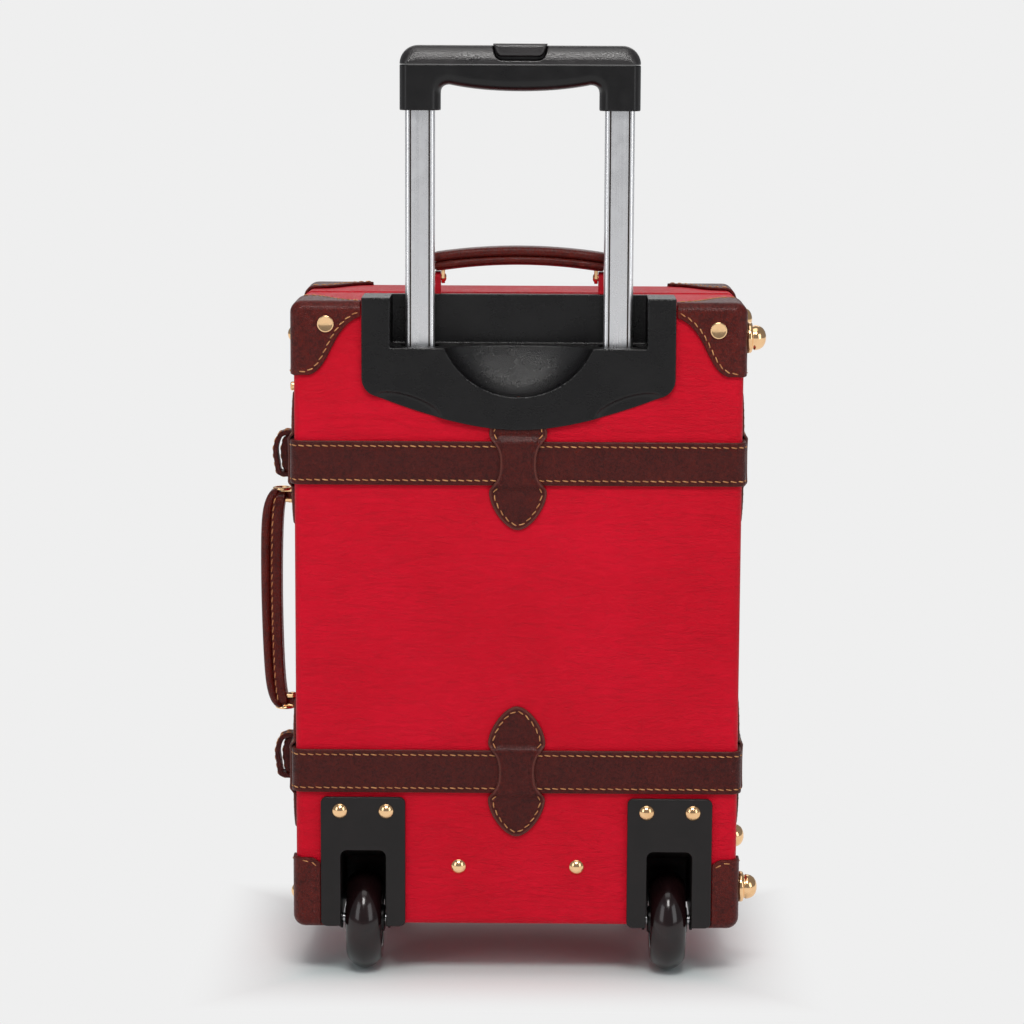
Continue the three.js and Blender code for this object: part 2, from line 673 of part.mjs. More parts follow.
function hingeSideKeeper(height) {
  return keeper().rotate([0, 0, 90]).translate([SIDE, SIDE_KEEPER_DEPTH, height]);
}

// A strap lies over the opening, hinged on the lid, with a bulging keeper loop near its tip.
function strap(height) {
  const half = BELT_WIDTH / 2;
  const inner = -SIDE - FIT_GAP - STRAP_LIFT;
  const outer = inner - BELT_THICKNESS;
  const tongue = box(
    [outer, STRAP_TIP_DEPTH, height - half],
    [inner, STRAP_PIVOT_DEPTH, height + half],
  );
  const loopHalf = half + STRAP_LOOP_OVERHANG;
  const archShape = (grow) => {
    const shape = new THREE.Shape();
    shape.moveTo(inner - 0.01, height - loopHalf - grow);
    const crown = -SIDE - STRAP_LOOP_PROUD * STRAP_LOOP_BULGE - grow;
    shape.bezierCurveTo(crown, height - loopHalf - grow, crown, height + loopHalf + grow,
      inner - 0.01, height + loopHalf + grow);
    return shape;
  };
  const start = STRAP_TIP_DEPTH + STRAP_LOOP_INSET;
  const loop = alongY(archShape(0), start, start + STRAP_LOOP_WIDTH, 6);
  const hollow = alongY(archShape(-STRAP_LOOP_THICKNESS), start - 1, start + STRAP_LOOP_WIDTH + 1, 6);
  return loop.subtract(hollow).add(tongue);
}

// Feet

function sideFoot() {
  const radius = SIDE_FOOT_RADIUS;
  const tall = SIDE_FOOT_HEIGHT;
  return turnedAlongX(
    [[0, 0], [radius, 0], [radius, 2.6], [radius - 1.4, 3.6], [radius - 1.6, 0.6 * tall],
      [radius - 3.6, 0.88 * tall], [0.4 * radius, tall - 0.3], [0, tall]],
    16,
  );
}

function standFoot() {
  const tall = CASE_BOTTOM - FIT_GAP;
  const radius = STAND_FOOT_RADIUS;
  return turned(
    [[0, 0], [radius - 3.5, 0], [radius - 2, 1.5], [radius - 1, tall - 8], [radius + 4, tall - 5],
      [radius + 4, tall], [0, tall]],
    18,
  );
}

// Telescopic handle

function tube(growth, side, bottom, length) {
  const outline = tubeShape(growth, side * TUBE_X);
  outline.holes.push(tubeShape(growth - TUBE_WALL, side * TUBE_X));
  return alongZ(outline, bottom, bottom + length);
}

function gripOutline() {
  const half = GRIP_WIDTH / 2;
  const innerHalf = half - GRIP_LEG_WIDTH;
  const radius = GRIP_CORNER_RADIUS;
  const under = GRIP_LEG_BOTTOM + GRIP_LEG_LENGTH;
  const fillet = 6;
  const shape = new THREE.Shape();
  shape.moveTo(-half, GRIP_LEG_BOTTOM);
  shape.lineTo(-innerHalf, GRIP_LEG_BOTTOM);
  shape.lineTo(-innerHalf, under - fillet);
  shape.quadraticCurveTo(-innerHalf, under, -innerHalf + fillet, under);
  shape.quadraticCurveTo(-innerHalf / 2, under - GRIP_BELLY, 0, under - GRIP_BELLY);
  shape.quadraticCurveTo(innerHalf / 2, under - GRIP_BELLY, innerHalf - fillet, under);
  shape.quadraticCurveTo(innerHalf, under, innerHalf, under - fillet);
  shape.lineTo(innerHalf, GRIP_LEG_BOTTOM);
  shape.lineTo(half, GRIP_LEG_BOTTOM);
  shape.lineTo(half, GRIP_TOP - radius);
  shape.absarc(half - radius, GRIP_TOP - radius, radius, 0, Math.PI / 2, false);
  shape.lineTo(-half + radius, GRIP_TOP);
  shape.absarc(-half + radius, GRIP_TOP - radius, radius, Math.PI / 2, Math.PI, false);
  return shape;
}

function buttonOutline(gap, bottomGap) {
  const top = GRIP_TOP + BUTTON_RISE + 3 * gap;
  const bottom = GRIP_TOP + BUTTON_RISE - BUTTON_HEIGHT - bottomGap;
  const half = BUTTON_WIDTH / 2 + gap;
  const foot = BUTTON_FOOT_WIDTH / 2 + gap;
  const shape = new THREE.Shape();
  shape.moveTo(half, top);
  shape.lineTo(-half, top);
  shape.lineTo(-foot - 1, bottom + 4);
  shape.quadraticCurveTo(-foot, bottom, -foot + 4, bottom);
  shape.lineTo(foot - 4, bottom);
  shape.quadraticCurveTo(foot, bottom, foot + 1, bottom + 4);
  return shape;
}

const GRIP_BACK = TUBE_DEPTH_POSITION - GRIP_DEPTH / 2;
const GRIP_FRONT = TUBE_DEPTH_POSITION + GRIP_DEPTH / 2;

function gripBlock() {
  return alongY(gripOutline(), GRIP_BACK, GRIP_FRONT, 4, GRIP_EDGE_RADIUS, 3);
}

function gripLowerShell() {
  let solid = gripBlock().subtract(box([-FAR, -FAR, GRIP_SEAM - FIT_GAP / 2], [FAR, FAR, FAR]));
  for (const side of [-1, 1]) {
    const socket = tubeShape(FIT_GAP, side * TUBE_X);
    const roof = GRIP_LEG_BOTTOM + SOCKET_DEPTH + FIT_GAP;
    solid = solid.subtract(alongZ(socket, GRIP_LEG_BOTTOM - 1, roof));
  }
  return solid;
}

function gripUpperShell() {
  const around = alongY(buttonOutline(BUTTON_SIDE_GAP, FIT_GAP), -FAR, FAR, 3);
  const recess = wasm.Manifold.hull([around, around.translate([0, 0, -BUTTON_TRAVEL])]);
  return gripBlock()
    .subtract(box([-FAR, -FAR, -FAR], [FAR, FAR, GRIP_SEAM + FIT_GAP / 2]))
    .subtract(recess);
}

function gripButton() {
  return alongY(buttonOutline(0, 0), GRIP_BACK + 0.8, GRIP_FRONT - 0.8, 3, 3, 2);
}

function tubeBracket() {
  const top = CASE_TOP - OUTER_TUBE_TOP_DROP - OUTER_TUBE_LENGTH - FIT_GAP;
  const half = TUBE_X + UPPER_TUBE_WIDTH / 2 + OUTER_TUBE_GROWTH + BRACKET_OVERHANG;
  const back = SHELL_WALL + FIT_GAP;
  const bar = box(
    [-half, back, top - BRACKET_THICKNESS],
    [half, TUBE_DEPTH_POSITION + UPPER_TUBE_DEPTH, top],
  );
  const tab = box(
    [-BRACKET_TAB_WIDTH / 2, back, top - 1],
    [BRACKET_TAB_WIDTH / 2, back + BRACKET_TAB_THICKNESS, top + BRACKET_TAB_HEIGHT],
  );
  return bar.add(tab);
}

// Carry handles: made lying along x with the pivots on the x axis and the bar above them in +z.
// Two ears at each end straddle the tab, and a pin passes through ears and tab.
function carryHandle(span, arch, thickness) {
  const half = span / 2 + CARRY_OVERHANG;
  const under = CARRY_EAR_RADIUS + FIT_GAP;
  const bar = new THREE.Shape();
  bar.moveTo(-half, under);
  bar.bezierCurveTo(-half * 0.5, under + arch * 1.33, half * 0.5, under + arch * 1.33, half, under);
  bar.bezierCurveTo(half + 3, under + thickness * 0.3, half + 3, under + thickness * 0.8,
    half - 3, under + thickness);
  bar.bezierCurveTo(half * 0.5, under + thickness + arch * 1.33,
    -half * 0.5, under + thickness + arch * 1.33, -half + 3, under + thickness);
  bar.bezierCurveTo(-half - 3, under + thickness * 0.8, -half - 3, under + thickness * 0.3,
    -half, under);
  let handle = alongY(bar, -CARRY_WIDTH / 2, CARRY_WIDTH / 2, 6, 3, 2);
  const earOutline = roundedRectangle(
    2 * CARRY_EAR_RADIUS, 2 * CARRY_EAR_RADIUS + 6, CARRY_EAR_RADIUS - 0.2, 0, 3);
  const earStart = CARRY_TAB_THICKNESS / 2 + FIT_GAP;
  const earEnd = earStart + CARRY_EAR_THICKNESS;
  for (const side of [-1, 1]) {
    const x = side * span / 2;
    handle = handle
      .add(alongX(earOutline, x - earEnd, x - earStart, 4))
      .add(alongX(earOutline, x + earStart, x + earEnd, 4))
      .add(rodAlongX(CARRY_PIN_RADIUS, earStart + 1).translate([x, 0, 0]));
  }
  return handle;
}

// The tab that one end of a carry handle turns on: its bore lies on the x axis.
function carryTab(pivotRise, side, span) {
  const base = CARRY_TAB_BASE / 2;
  const foot = -pivotRise + FIT_GAP;
  const crown = CARRY_EAR_RADIUS;
  const outline = new THREE.Shape();
  outline.moveTo(-base, foot);
  outline.lineTo(base, foot);
  outline.lineTo(crown, 0);
  outline.absarc(0, 0, crown, 0, Math.PI, false);
  const low = side * span / 2 - CARRY_TAB_THICKNESS / 2;
  const bore = rodAlongX(CARRY_PIN_RADIUS + CARRY_PIN_CLEARANCE, CARRY_TAB_THICKNESS);
  return alongX(outline, low, low + CARRY_TAB_THICKNESS, 5)
    .subtract(bore.translate([side * span / 2, 0, 0]));
}

const onTop = (solid) => solid.translate([0, CARRY_DEPTH_POSITION, CASE_TOP + TOP_HANDLE_PIVOT_RISE]);

const onOpeningSide = (solid) => solid.rotate([0, -90, 0]).translate([
  -SIDE - SIDE_HANDLE_PIVOT_PROUD, CARRY_DEPTH_POSITION, CASE_TOP - SIDE_HANDLE_MIDDLE_DROP]);

// Zip sliders and pulls

function zipSlider(height) {
  const floor = -SIDE - TAPE_OUTSIDE - FIT_GAP;
  const outside = -SIDE - SLIDER_PROUD;
  const half = ZIP_GAP / 2 - FIT_GAP;
  const block = box(
    [outside, BASE_DEPTH - half, height - SLIDER_HEIGHT / 2],
    [floor, BASE_DEPTH + half, height + SLIDER_HEIGHT / 2],
  );
  const yoke = box(
    [outside - PULL_THICKNESS - 2 * FIT_GAP, BASE_DEPTH - YOKE_THICKNESS / 2, height - YOKE_HEIGHT / 2],
    [outside + JOIN_OVERLAP, BASE_DEPTH + YOKE_THICKNESS / 2, height + YOKE_HEIGHT / 2],
  );
  return block.add(yoke);
}

// The pull is a plate with a slot round the slider's yoke; it hangs from the bar above the slot.
function zipPull(height) {
  const inner = -SIDE - SLIDER_PROUD - FIT_GAP;
  const outer = inner - PULL_THICKNESS;
  const top = height + PULL_PIVOT_RISE + PULL_EYE_WALL;
  const plate = alongX(
    roundedRectangle(PULL_WIDTH, PULL_LENGTH, PULL_CORNER_RADIUS, BASE_DEPTH, top - PULL_LENGTH / 2),
    outer,
    inner,
  );
  const halfSlot = YOKE_THICKNESS / 2 + YOKE_PLAY;
  const slot = box(
    [outer - 1, BASE_DEPTH - halfSlot, height - YOKE_HEIGHT / 2 - YOKE_PLAY],
    [inner + 1, BASE_DEPTH + halfSlot, height + PULL_PIVOT_RISE - PULL_EYE_WALL],
  );
  return plate.subtract(slot);
}

// Colours and finishes

const RED_CLOTH = { color: 0xc8182c, roughness: 0.55, metalness: 0 };
const BROWN_LEATHER = { color: 0x4b201c, roughness: 0.5, metalness: 0 };
const BLACK_PLASTIC = { color: 0x262425, roughness: 0.5, metalness: 0 };
const BRUSHED_ALUMINIUM = { color: 0xc8c6c4, roughness: 0.35, metalness: 0.9 };
const GOLD_METAL = { color: 0xc8a56e, roughness: 0.3, metalness: 0.9 };
const STEEL = { color: 0xb0b0b4, roughness: 0.35, metalness: 0.9 };
const GLOSS_BLACK = { color: 0x2d282a, roughness: 0.15, metalness: 0 };
const LINING_CLOTH = { color: 0x8c7a66, roughness: 0.9, metalness: 0 };
const ZIP_CLOTH = { color: 0x8f1420, roughness: 0.8, metalness: 0 };

const suitcase = new THREE.Group();

function addPiece(name, solid, finish) {
  const mesh = new THREE.Mesh(toGeometry(solid), new THREE.MeshStandardMaterial(finish));
  mesh.name = name;
  suitcase.add(mesh);
}

// Base
addPiece('base_shell', baseShell(), RED_CLOTH);
addPiece('base_lining', baseLining(), LINING_CLOTH);
addPiece('base_zip_tape',
  zipTape(BASE_DEPTH - ZIP_TAPE_WIDTH, BASE_DEPTH - FIT_GAP / 2), ZIP_CLOTH);
addPiece('hinge_strip', box(
  [SIDE + FIT_GAP, BASE_DEPTH - FIT_GAP - HINGE_STRIP_WIDTH, CASE_BOTTOM + HINGE_STRIP_MARGIN],
  [SIDE + FIT_GAP + HINGE_STRIP_THICKNESS, BASE_DEPTH - FIT_GAP, CASE_TOP - HINGE_STRIP_MARGIN],
), BROWN_LEATHER);
addPiece('handle_plate', handlePlate(), BLACK_PLASTIC);
addPiece('tube_bracket', tubeBracket(), STEEL);

const LID_FOOT_DEPTH = CASE_DEPTH - LID_FOOT_FROM_FRONT;
const footX = SIDE + LEATHER_OUTSIDE + FIT_GAP;
const footLevels = {
  upper: CASE_TOP - SIDE_FOOT_CORNER_DROP,
  lower: CASE_BOTTOM + SIDE_FOOT_CORNER_RISE,
};
const beltLevels = { upper: UPPER_BELT, lower: LOWER_BELT };

for (const [level, height] of Object.entries(beltLevels)) {
  addPiece(`base_belt_${level}`, baseBelt(height), BROWN_LEATHER);
  addPiece(`lid_belt_${level}`, lidBelt(height), BROWN_LEATHER);
  addPiece(`back_keeper_${level}`, backKeeper(height), BROWN_LEATHER);
  addPiece(`side_keeper_${level}`, hingeSideKeeper(height), BROWN_LEATHER);
  addPiece(`strap_${level}`, strap(height), BROWN_LEATHER);
}

for (const [level, height] of Object.entries(footLevels)) {
  const baseFootAt = [footX, BASE_FOOT_DEPTH, height];
  const lidFootAt = [footX, LID_FOOT_DEPTH, height];
  addPiece(`base_side_foot_${level}`, sideFoot().translate(baseFootAt), GOLD_METAL);
  addPiece(`lid_side_foot_${level}`, sideFoot().translate(lidFootAt), GOLD_METAL);
}

for (const [hand, side] of [['left', -1], ['right', 1]]) {
  addPiece(`base_corner_top_${hand}`, leatherCorner(side, true, false), BROWN_LEATHER);
  addPiece(`base_corner_bottom_${hand}`, leatherCorner(side, false, false), BROWN_LEATHER);
  addPiece(`lid_corner_top_${hand}`, leatherCorner(side, true, true), BROWN_LEATHER);
  addPiece(`lid_corner_bottom_${hand}`, leatherCorner(side, false, true), BROWN_LEATHER);
  addPiece(`wheel_housing_${hand}`, wheelHousing(side), BLACK_PLASTIC);
  const atAxle = [side * WHEEL_X, AXLE_DEPTH_POSITION, AXLE_HEIGHT];
  addPiece(`axle_${hand}`, axle().translate(atAxle), STEEL);
  addPiece(`tyre_${hand}`, tyre().translate(atAxle), GLOSS_BLACK);
  addPiece(`hub_${hand}`, hub().translate(atAxle), GLOSS_BLACK);
  const outerBottom = CASE_TOP - OUTER_TUBE_TOP_DROP - OUTER_TUBE_LENGTH;
  addPiece(`outer_tube_${hand}`, tube(OUTER_TUBE_GROWTH, side, outerBottom, OUTER_TUBE_LENGTH), STEEL);
  const middleBottom = CASE_TOP - MIDDLE_TUBE_TOP_DROP - MIDDLE_TUBE_LENGTH;
  addPiece(`middle_tube_${hand}`,
    tube(MIDDLE_TUBE_GROWTH, side, middleBottom, MIDDLE_TUBE_LENGTH), BRUSHED_ALUMINIUM);
  const upperTop = GRIP_LEG_BOTTOM + SOCKET_DEPTH;
  addPiece(`upper_tube_${hand}`,
    tube(0, side, upperTop - UPPER_TUBE_LENGTH, UPPER_TUBE_LENGTH), BRUSHED_ALUMINIUM);
  const standFootAt = [side * STAND_FOOT_X, CASE_DEPTH - STAND_FOOT_FROM_FRONT, 0];
  addPiece(`stand_foot_${hand}`, standFoot().translate(standFootAt), BLACK_PLASTIC);
  addPiece(`top_handle_tab_${hand}`,
    onTop(carryTab(TOP_HANDLE_PIVOT_RISE, side, TOP_HANDLE_SPAN)), RED_CLOTH);
}

// Telescopic handle's grip
addPiece('grip_lower_shell', gripLowerShell(), BLACK_PLASTIC);
addPiece('grip_upper_shell', gripUpperShell(), BLACK_PLASTIC);
addPiece('grip_button', gripButton(), BLACK_PLASTIC);

// Carry handles
addPiece('top_handle',
  onTop(carryHandle(TOP_HANDLE_SPAN, TOP_HANDLE_ARCH, TOP_HANDLE_THICKNESS)), BROWN_LEATHER);
addPiece('side_handle',
  onOpeningSide(carryHandle(SIDE_HANDLE_SPAN, SIDE_HANDLE_ARCH, SIDE_HANDLE_THICKNESS)),
  BROWN_LEATHER);
for (const [level, side] of [['upper', 1], ['lower', -1]]) {
  addPiece(`side_handle_tab_${level}`,
    onOpeningSide(carryTab(SIDE_HANDLE_PIVOT_PROUD, side, SIDE_HANDLE_SPAN)), BROWN_LEATHER);
}

// Lid
addPiece('lid_shell', shell(LID_RANGE), RED_CLOTH);
addPiece('lid_lining', lidLining(), LINING_CLOTH);
addPiece('lid_zip_tape',
  zipTape(BASE_DEPTH + FIT_GAP / 2, BASE_DEPTH + ZIP_TAPE_WIDTH), ZIP_CLOTH);

// Zip sliders
const sliderLevels = {
  upper: UPPER_BELT + BELT_WIDTH / 2 + UPPER_SLIDER_ABOVE_BELT,
  lower: LOWER_BELT + BELT_WIDTH / 2 + LOWER_SLIDER_ABOVE_BELT,
};
for (const [level, height] of Object.entries(sliderLevels)) {
  addPiece(`zip_slider_${level}`, zipSlider(height), GOLD_METAL);
  addPiece(`zip_pull_${level}`, zipPull(height), GOLD_METAL);
}

// The group's origin sits on the floor, under the middle of the whole object.
const extent = new THREE.Box3().setFromObject(suitcase, true);
const middle = extent.getCenter(new THREE.Vector3());
suitcase.position.set(-middle.x, -middle.y, -extent.min.z);

export default suitcase;
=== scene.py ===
# %% [markdown]
# # A hard suitcase on wheels, dressed in Blender
#
# The case is a stiff box covered in red leathercloth, with brown leather corners and belts, brass
# studs, a black plastic handle plate and a telescopic handle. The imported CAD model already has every
# size, joint and body. This lesson keeps those places and rebuilds each surface that is seen, finely
# enough for light to run over it: rounded edges, rows of stitches, studs, moulded plastic.

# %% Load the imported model
import math

import bmesh
import bpy
from mathutils import Matrix, Vector, noise


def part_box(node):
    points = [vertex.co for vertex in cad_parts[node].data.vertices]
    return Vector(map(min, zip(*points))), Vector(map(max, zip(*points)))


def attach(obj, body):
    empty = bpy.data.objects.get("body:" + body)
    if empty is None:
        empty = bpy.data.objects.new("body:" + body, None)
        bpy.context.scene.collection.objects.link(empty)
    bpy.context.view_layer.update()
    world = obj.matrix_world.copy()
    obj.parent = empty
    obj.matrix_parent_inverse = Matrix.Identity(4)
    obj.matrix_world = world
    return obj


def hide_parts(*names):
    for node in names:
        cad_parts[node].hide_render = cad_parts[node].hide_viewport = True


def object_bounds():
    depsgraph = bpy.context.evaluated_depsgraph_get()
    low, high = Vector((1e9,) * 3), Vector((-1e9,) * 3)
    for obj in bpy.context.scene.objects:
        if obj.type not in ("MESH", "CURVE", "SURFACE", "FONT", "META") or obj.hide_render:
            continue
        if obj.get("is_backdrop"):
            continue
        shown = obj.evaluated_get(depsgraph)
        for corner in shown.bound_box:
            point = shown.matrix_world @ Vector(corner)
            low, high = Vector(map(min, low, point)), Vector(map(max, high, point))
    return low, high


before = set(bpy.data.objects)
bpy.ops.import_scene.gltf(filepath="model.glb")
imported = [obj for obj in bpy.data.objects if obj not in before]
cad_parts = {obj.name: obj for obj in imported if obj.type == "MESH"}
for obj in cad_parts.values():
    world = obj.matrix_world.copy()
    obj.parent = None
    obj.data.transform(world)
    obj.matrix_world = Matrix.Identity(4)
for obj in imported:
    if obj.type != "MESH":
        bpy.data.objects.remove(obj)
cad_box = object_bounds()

# %% [markdown]
# ## One way to say where things are
#
# A maker measures this case from its back face, its middle and the floor, in millimetres. The
# function `place` turns such a point into the frame's metres, and `measure` reads a CAD node's box
# back in the same terms. Nearly every size below starts from one of those boxes.

# %% Case measures
MM = 0.001
shell_low, shell_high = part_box("base_shell")
MIDDLE_X = (shell_low.x + shell_high.x) / 2
BACK_Y = shell_low.y


def place(x, y, z):
    """A point in the frame, from millimetres right of the middle, behind the back face, over the floor."""
    return Vector((MIDDLE_X + x * MM, BACK_Y + y * MM, z * MM))


def measure(node):
    """The lowest and highest corner of a CAD node, in the same millimetres as place."""
    low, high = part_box(node)
    origin = place(0, 0, 0)
    return (low - origin) / MM, (high - origin) / MM


base_low, base_high = measure("base_shell")
lid_lowest, lid_highest = measure("lid_shell")
SIDE = base_high.x
BOTTOM = base_low.z
TOP = base_high.z
DEPTH = lid_highest.y
BASE_EDGE = base_high.y
LID_EDGE = lid_lowest.y
OPENING_Y = (BASE_EDGE + LID_EDGE) / 2
CENTRE_Z = (BOTTOM + TOP) / 2
CORNER_RADIUS = 7
ZIP_CORNER = 14
EDGE_RADIUS = 6
WALL = 3
FIT = 0.3
FAR = 900
print("case", round(2 * SIDE), "x", round(DEPTH), "x", round(TOP - BOTTOM), "mm")

# %% [markdown]
# ## Camera
#
# The camera stands about two and a half metres behind the case, a little above its middle, with a
# long lens. A long lens keeps the upright edges almost parallel, as a shop picture does.

# %% Camera
CAMERA_POINT = place(14.9, -2436.3, 755.6)
CAMERA_PITCH = math.radians(8.69)
CAMERA_YAW = math.radians(0.46)
CAMERA_ROLL = math.radians(-0.27)
LENS = 108.98

camera_data = bpy.data.cameras.new("camera")
camera_data.lens = LENS
camera_data.sensor_width = 36
camera_data.clip_end = 60
camera = bpy.data.objects.new("camera", camera_data)
bpy.context.scene.collection.objects.link(camera)
bpy.context.scene.camera = camera

look = Vector((
    -math.sin(CAMERA_YAW) * math.cos(CAMERA_PITCH),
    math.cos(CAMERA_YAW) * math.cos(CAMERA_PITCH),
    -math.sin(CAMERA_PITCH),
))
right = Vector((math.cos(CAMERA_YAW), math.sin(CAMERA_YAW), 0))
up = right.cross(look)
across = right * math.cos(CAMERA_ROLL) - up * math.sin(CAMERA_ROLL)
upright = right * math.sin(CAMERA_ROLL) + up * math.cos(CAMERA_ROLL)
turn = Matrix((across, upright, -look)).transposed().to_4x4()
camera.matrix_world = Matrix.Translation(CAMERA_POINT) @ turn
print("camera at", [round(v, 3) for v in CAMERA_POINT])

# %% [markdown]
# ## Colours and node helpers
#
# Every finish here is made of nodes. A few short helpers keep the node code readable: `add` makes a
# node and fills or links its sockets, `ramp` shapes a value, `mix` blends two colours. Colours are
# written as everyday 0-255 values and turned into the linear values that Blender works with.

# %% Node helpers
def paint(red, green, blue):
    """A linear colour from everyday 0-255 values."""
    def linear(value):
        share = value / 255
        return share / 12.92 if share <= 0.04045 else ((share + 0.055) / 1.055) ** 2.4
    return (linear(red), linear(green), linear(blue), 1)


def darker(colour, share):
    """A linear colour from everyday values that keep only a share of their strength."""
    return paint(*[share * value for value in colour])


def fill(socket, value, tree):
    """Sets a socket to a value, or links it when the value is another node's output."""
    if isinstance(value, bpy.types.NodeSocket):
        tree.links.new(value, socket)
    else:
        socket.default_value = value


def add(tree, kind, sockets=None, **settings):
    """Makes a node of the given kind and fills its sockets by name or number."""
    made = tree.nodes.new(kind)
    for key, value in settings.items():
        setattr(made, key, value)
    for key, value in (sockets or {}).items():
        fill(made.inputs[key], value, tree)
    return made


def spot(tree, stretch=(1, 1, 1)):
    """Where a point is on the piece, stretched along each axis."""
    where = add(tree, "ShaderNodeTexCoord")
    return add(tree, "ShaderNodeMapping", {"Vector": where.outputs["Object"], "Scale": stretch}).outputs[0]


def cloud(tree, where, scale, detail=4, roughness=0.5, distortion=0.0):
    """Soft random patches, from 0 to 1."""
    return add(tree, "ShaderNodeTexNoise", {
        "Vector": where, "Scale": scale, "Detail": detail, "Roughness": roughness,
        "Distortion": distortion}).outputs["Fac"]


def cells(tree, where, scale, feature="DISTANCE_TO_EDGE"):
    """Small cells, as in the grain of a hide."""
    return add(tree, "ShaderNodeTexVoronoi", {"Vector": where, "Scale": scale},
               feature=feature).outputs["Distance"]


def wavered(tree, where, scale, detail, amount):
    """Shifts where a pattern is read, so that its cells aren't all alike."""
    wobble = add(tree, "ShaderNodeTexNoise", {"Vector": where, "Scale": scale, "Detail": detail})
    shift = add(tree, "ShaderNodeVectorMath", {0: wobble.outputs["Color"], "Scale": amount},
                operation="SCALE").outputs[0]
    return add(tree, "ShaderNodeVectorMath", {0: where, 1: shift}, operation="ADD").outputs[0]


def ramp(tree, value, low, high, to_low=0.0, to_high=1.0):
    """Stretches the part of a value between low and high over to_low..to_high, with soft ends."""
    return add(tree, "ShaderNodeMapRange", {
        "Value": value, "From Min": low, "From Max": high, "To Min": to_low, "To Max": to_high},
        interpolation_type="SMOOTHSTEP").outputs["Result"]


def calc(tree, operation, first, second):
    """Arithmetic on two values."""
    return add(tree, "ShaderNodeMath", {0: first, 1: second}, operation=operation).outputs[0]


def mix(tree, share, first, second, blend_type="MIX"):
    """Blends two colours by a share from 0 to 1."""
    made = add(tree, "ShaderNodeMix", data_type="RGBA", blend_type=blend_type)
    colour_sockets = [s for s in made.inputs if s.type == "RGBA"]
    fill(made.inputs[0], share, tree)
    fill(colour_sockets[0], first, tree)
    fill(colour_sockets[1], second, tree)
    return [s for s in made.outputs if s.type == "RGBA"][0]


def relief(tree, height, distance, strength=1.0, under=None):
    """Turns a height into a surface direction, over an earlier relief if one is given."""
    sockets = {"Height": height, "Distance": distance, "Strength": strength}
    if under is not None:
        sockets["Normal"] = under
    return add(tree, "ShaderNodeBump", sockets).outputs["Normal"]


def start_finish(name):
    """A new material, its node tree and its main shader."""
    made = bpy.data.materials.new(name)
    made.use_nodes = True
    return made, made.node_tree, made.node_tree.nodes["Principled BSDF"]


def set_constants(shader, **values):
    """Sets plain numbers on the shader's own sockets, with underscores for spaces."""
    for key, value in values.items():
        shader.inputs[key.replace("_", " ")].default_value = value


# %% [markdown]
# ## Studio
#
# A pale floor runs into a pale background with no line between them. The floor takes the soft
# contact shadow near the case, then turns to plain light further out. Straight under the case its
# paper is tinted a little against red, so that the light thrown down by the red cloth leaves a
# neutral shadow. The lamps are large and soft, and the one high behind the camera puts the glints
# into the finger bowl and along the grip. The room between them is dim, so black stays black.

# %% Studio
scene = bpy.context.scene
scene.view_settings.view_transform = "Standard"
BACKGROUND = paint(239, 239, 239)
ROOM_LIGHT = 0.30
FLOOR_RADIUS = 9.0
SHADOW_REACH = (0.0, 0.11)

world = bpy.data.worlds.new("studio")
scene.world = world
world.use_nodes = True
tree = world.node_tree
tree.nodes.clear()
seen = add(tree, "ShaderNodeBackground", {"Color": BACKGROUND, "Strength": 1.0})
room = add(tree, "ShaderNodeBackground", {"Color": paint(236, 238, 242), "Strength": ROOM_LIGHT})
path = add(tree, "ShaderNodeLightPath")
both = add(tree, "ShaderNodeMixShader", {
    0: path.outputs["Is Camera Ray"], 1: room.outputs[0], 2: seen.outputs[0]})
add(tree, "ShaderNodeOutputWorld", {"Surface": both.outputs[0]})


def floor_finish():
    """Pale floor: shaded near the case, plain light further away."""
    made, tree, shader = start_finish("floor_paper")
    where = spot(tree)
    grain = cloud(tree, where, 350, 3)
    paper = mix(tree, grain, paint(229, 229, 229), paint(235, 235, 235))
    split = add(tree, "ShaderNodeSeparateXYZ", {0: where})
    beside = calc(tree, "SUBTRACT", calc(tree, "ABSOLUTE", split.outputs[0], 0.0), 0.15)
    before = calc(tree, "SUBTRACT", calc(tree, "ABSOLUTE", split.outputs[1], 0.0), 0.08)
    far = calc(tree, "MAXIMUM", beside, before)
    under = ramp(tree, far, -0.03, 0.05, 0.9, 0.0)
    fill(shader.inputs["Base Color"], mix(tree, under, paper, paint(212, 229, 229)), tree)
    set_constants(shader, Roughness=0.75, Specular_IOR_Level=0.1)
    share = ramp(tree, far, *SHADOW_REACH)
    glow = add(tree, "ShaderNodeEmission", {"Color": BACKGROUND, "Strength": 1.0})
    blended = add(tree, "ShaderNodeMixShader", {0: share, 1: shader.outputs[0], 2: glow.outputs[0]})
    fill(tree.nodes["Material Output"].inputs["Surface"], blended.outputs[0], tree)
    return made


floor_mesh = bpy.data.meshes.new("floor")
floor_work = bmesh.new()
bmesh.ops.create_circle(floor_work, cap_ends=True, radius=FLOOR_RADIUS, segments=96)
floor_work.to_mesh(floor_mesh)
floor_work.free()
floor = bpy.data.objects.new("floor", floor_mesh)
scene.collection.objects.link(floor)
floor_mesh.materials.append(floor_finish())
floor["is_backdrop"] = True


def lamp(name, point, aim, width, height, watts, tint):
    """A large soft lamp that faces a point."""
    data = bpy.data.lights.new(name, "AREA")
    data.shape = "RECTANGLE"
    data.size = width
    data.size_y = height
    data.energy = watts
    data.color = tint[:3]
    made = bpy.data.objects.new(name, data)
    made.location = point
    made.rotation_euler = (Vector(aim) - Vector(point)).to_track_quat("-Z", "Y").to_euler()
    scene.collection.objects.link(made)
    return made


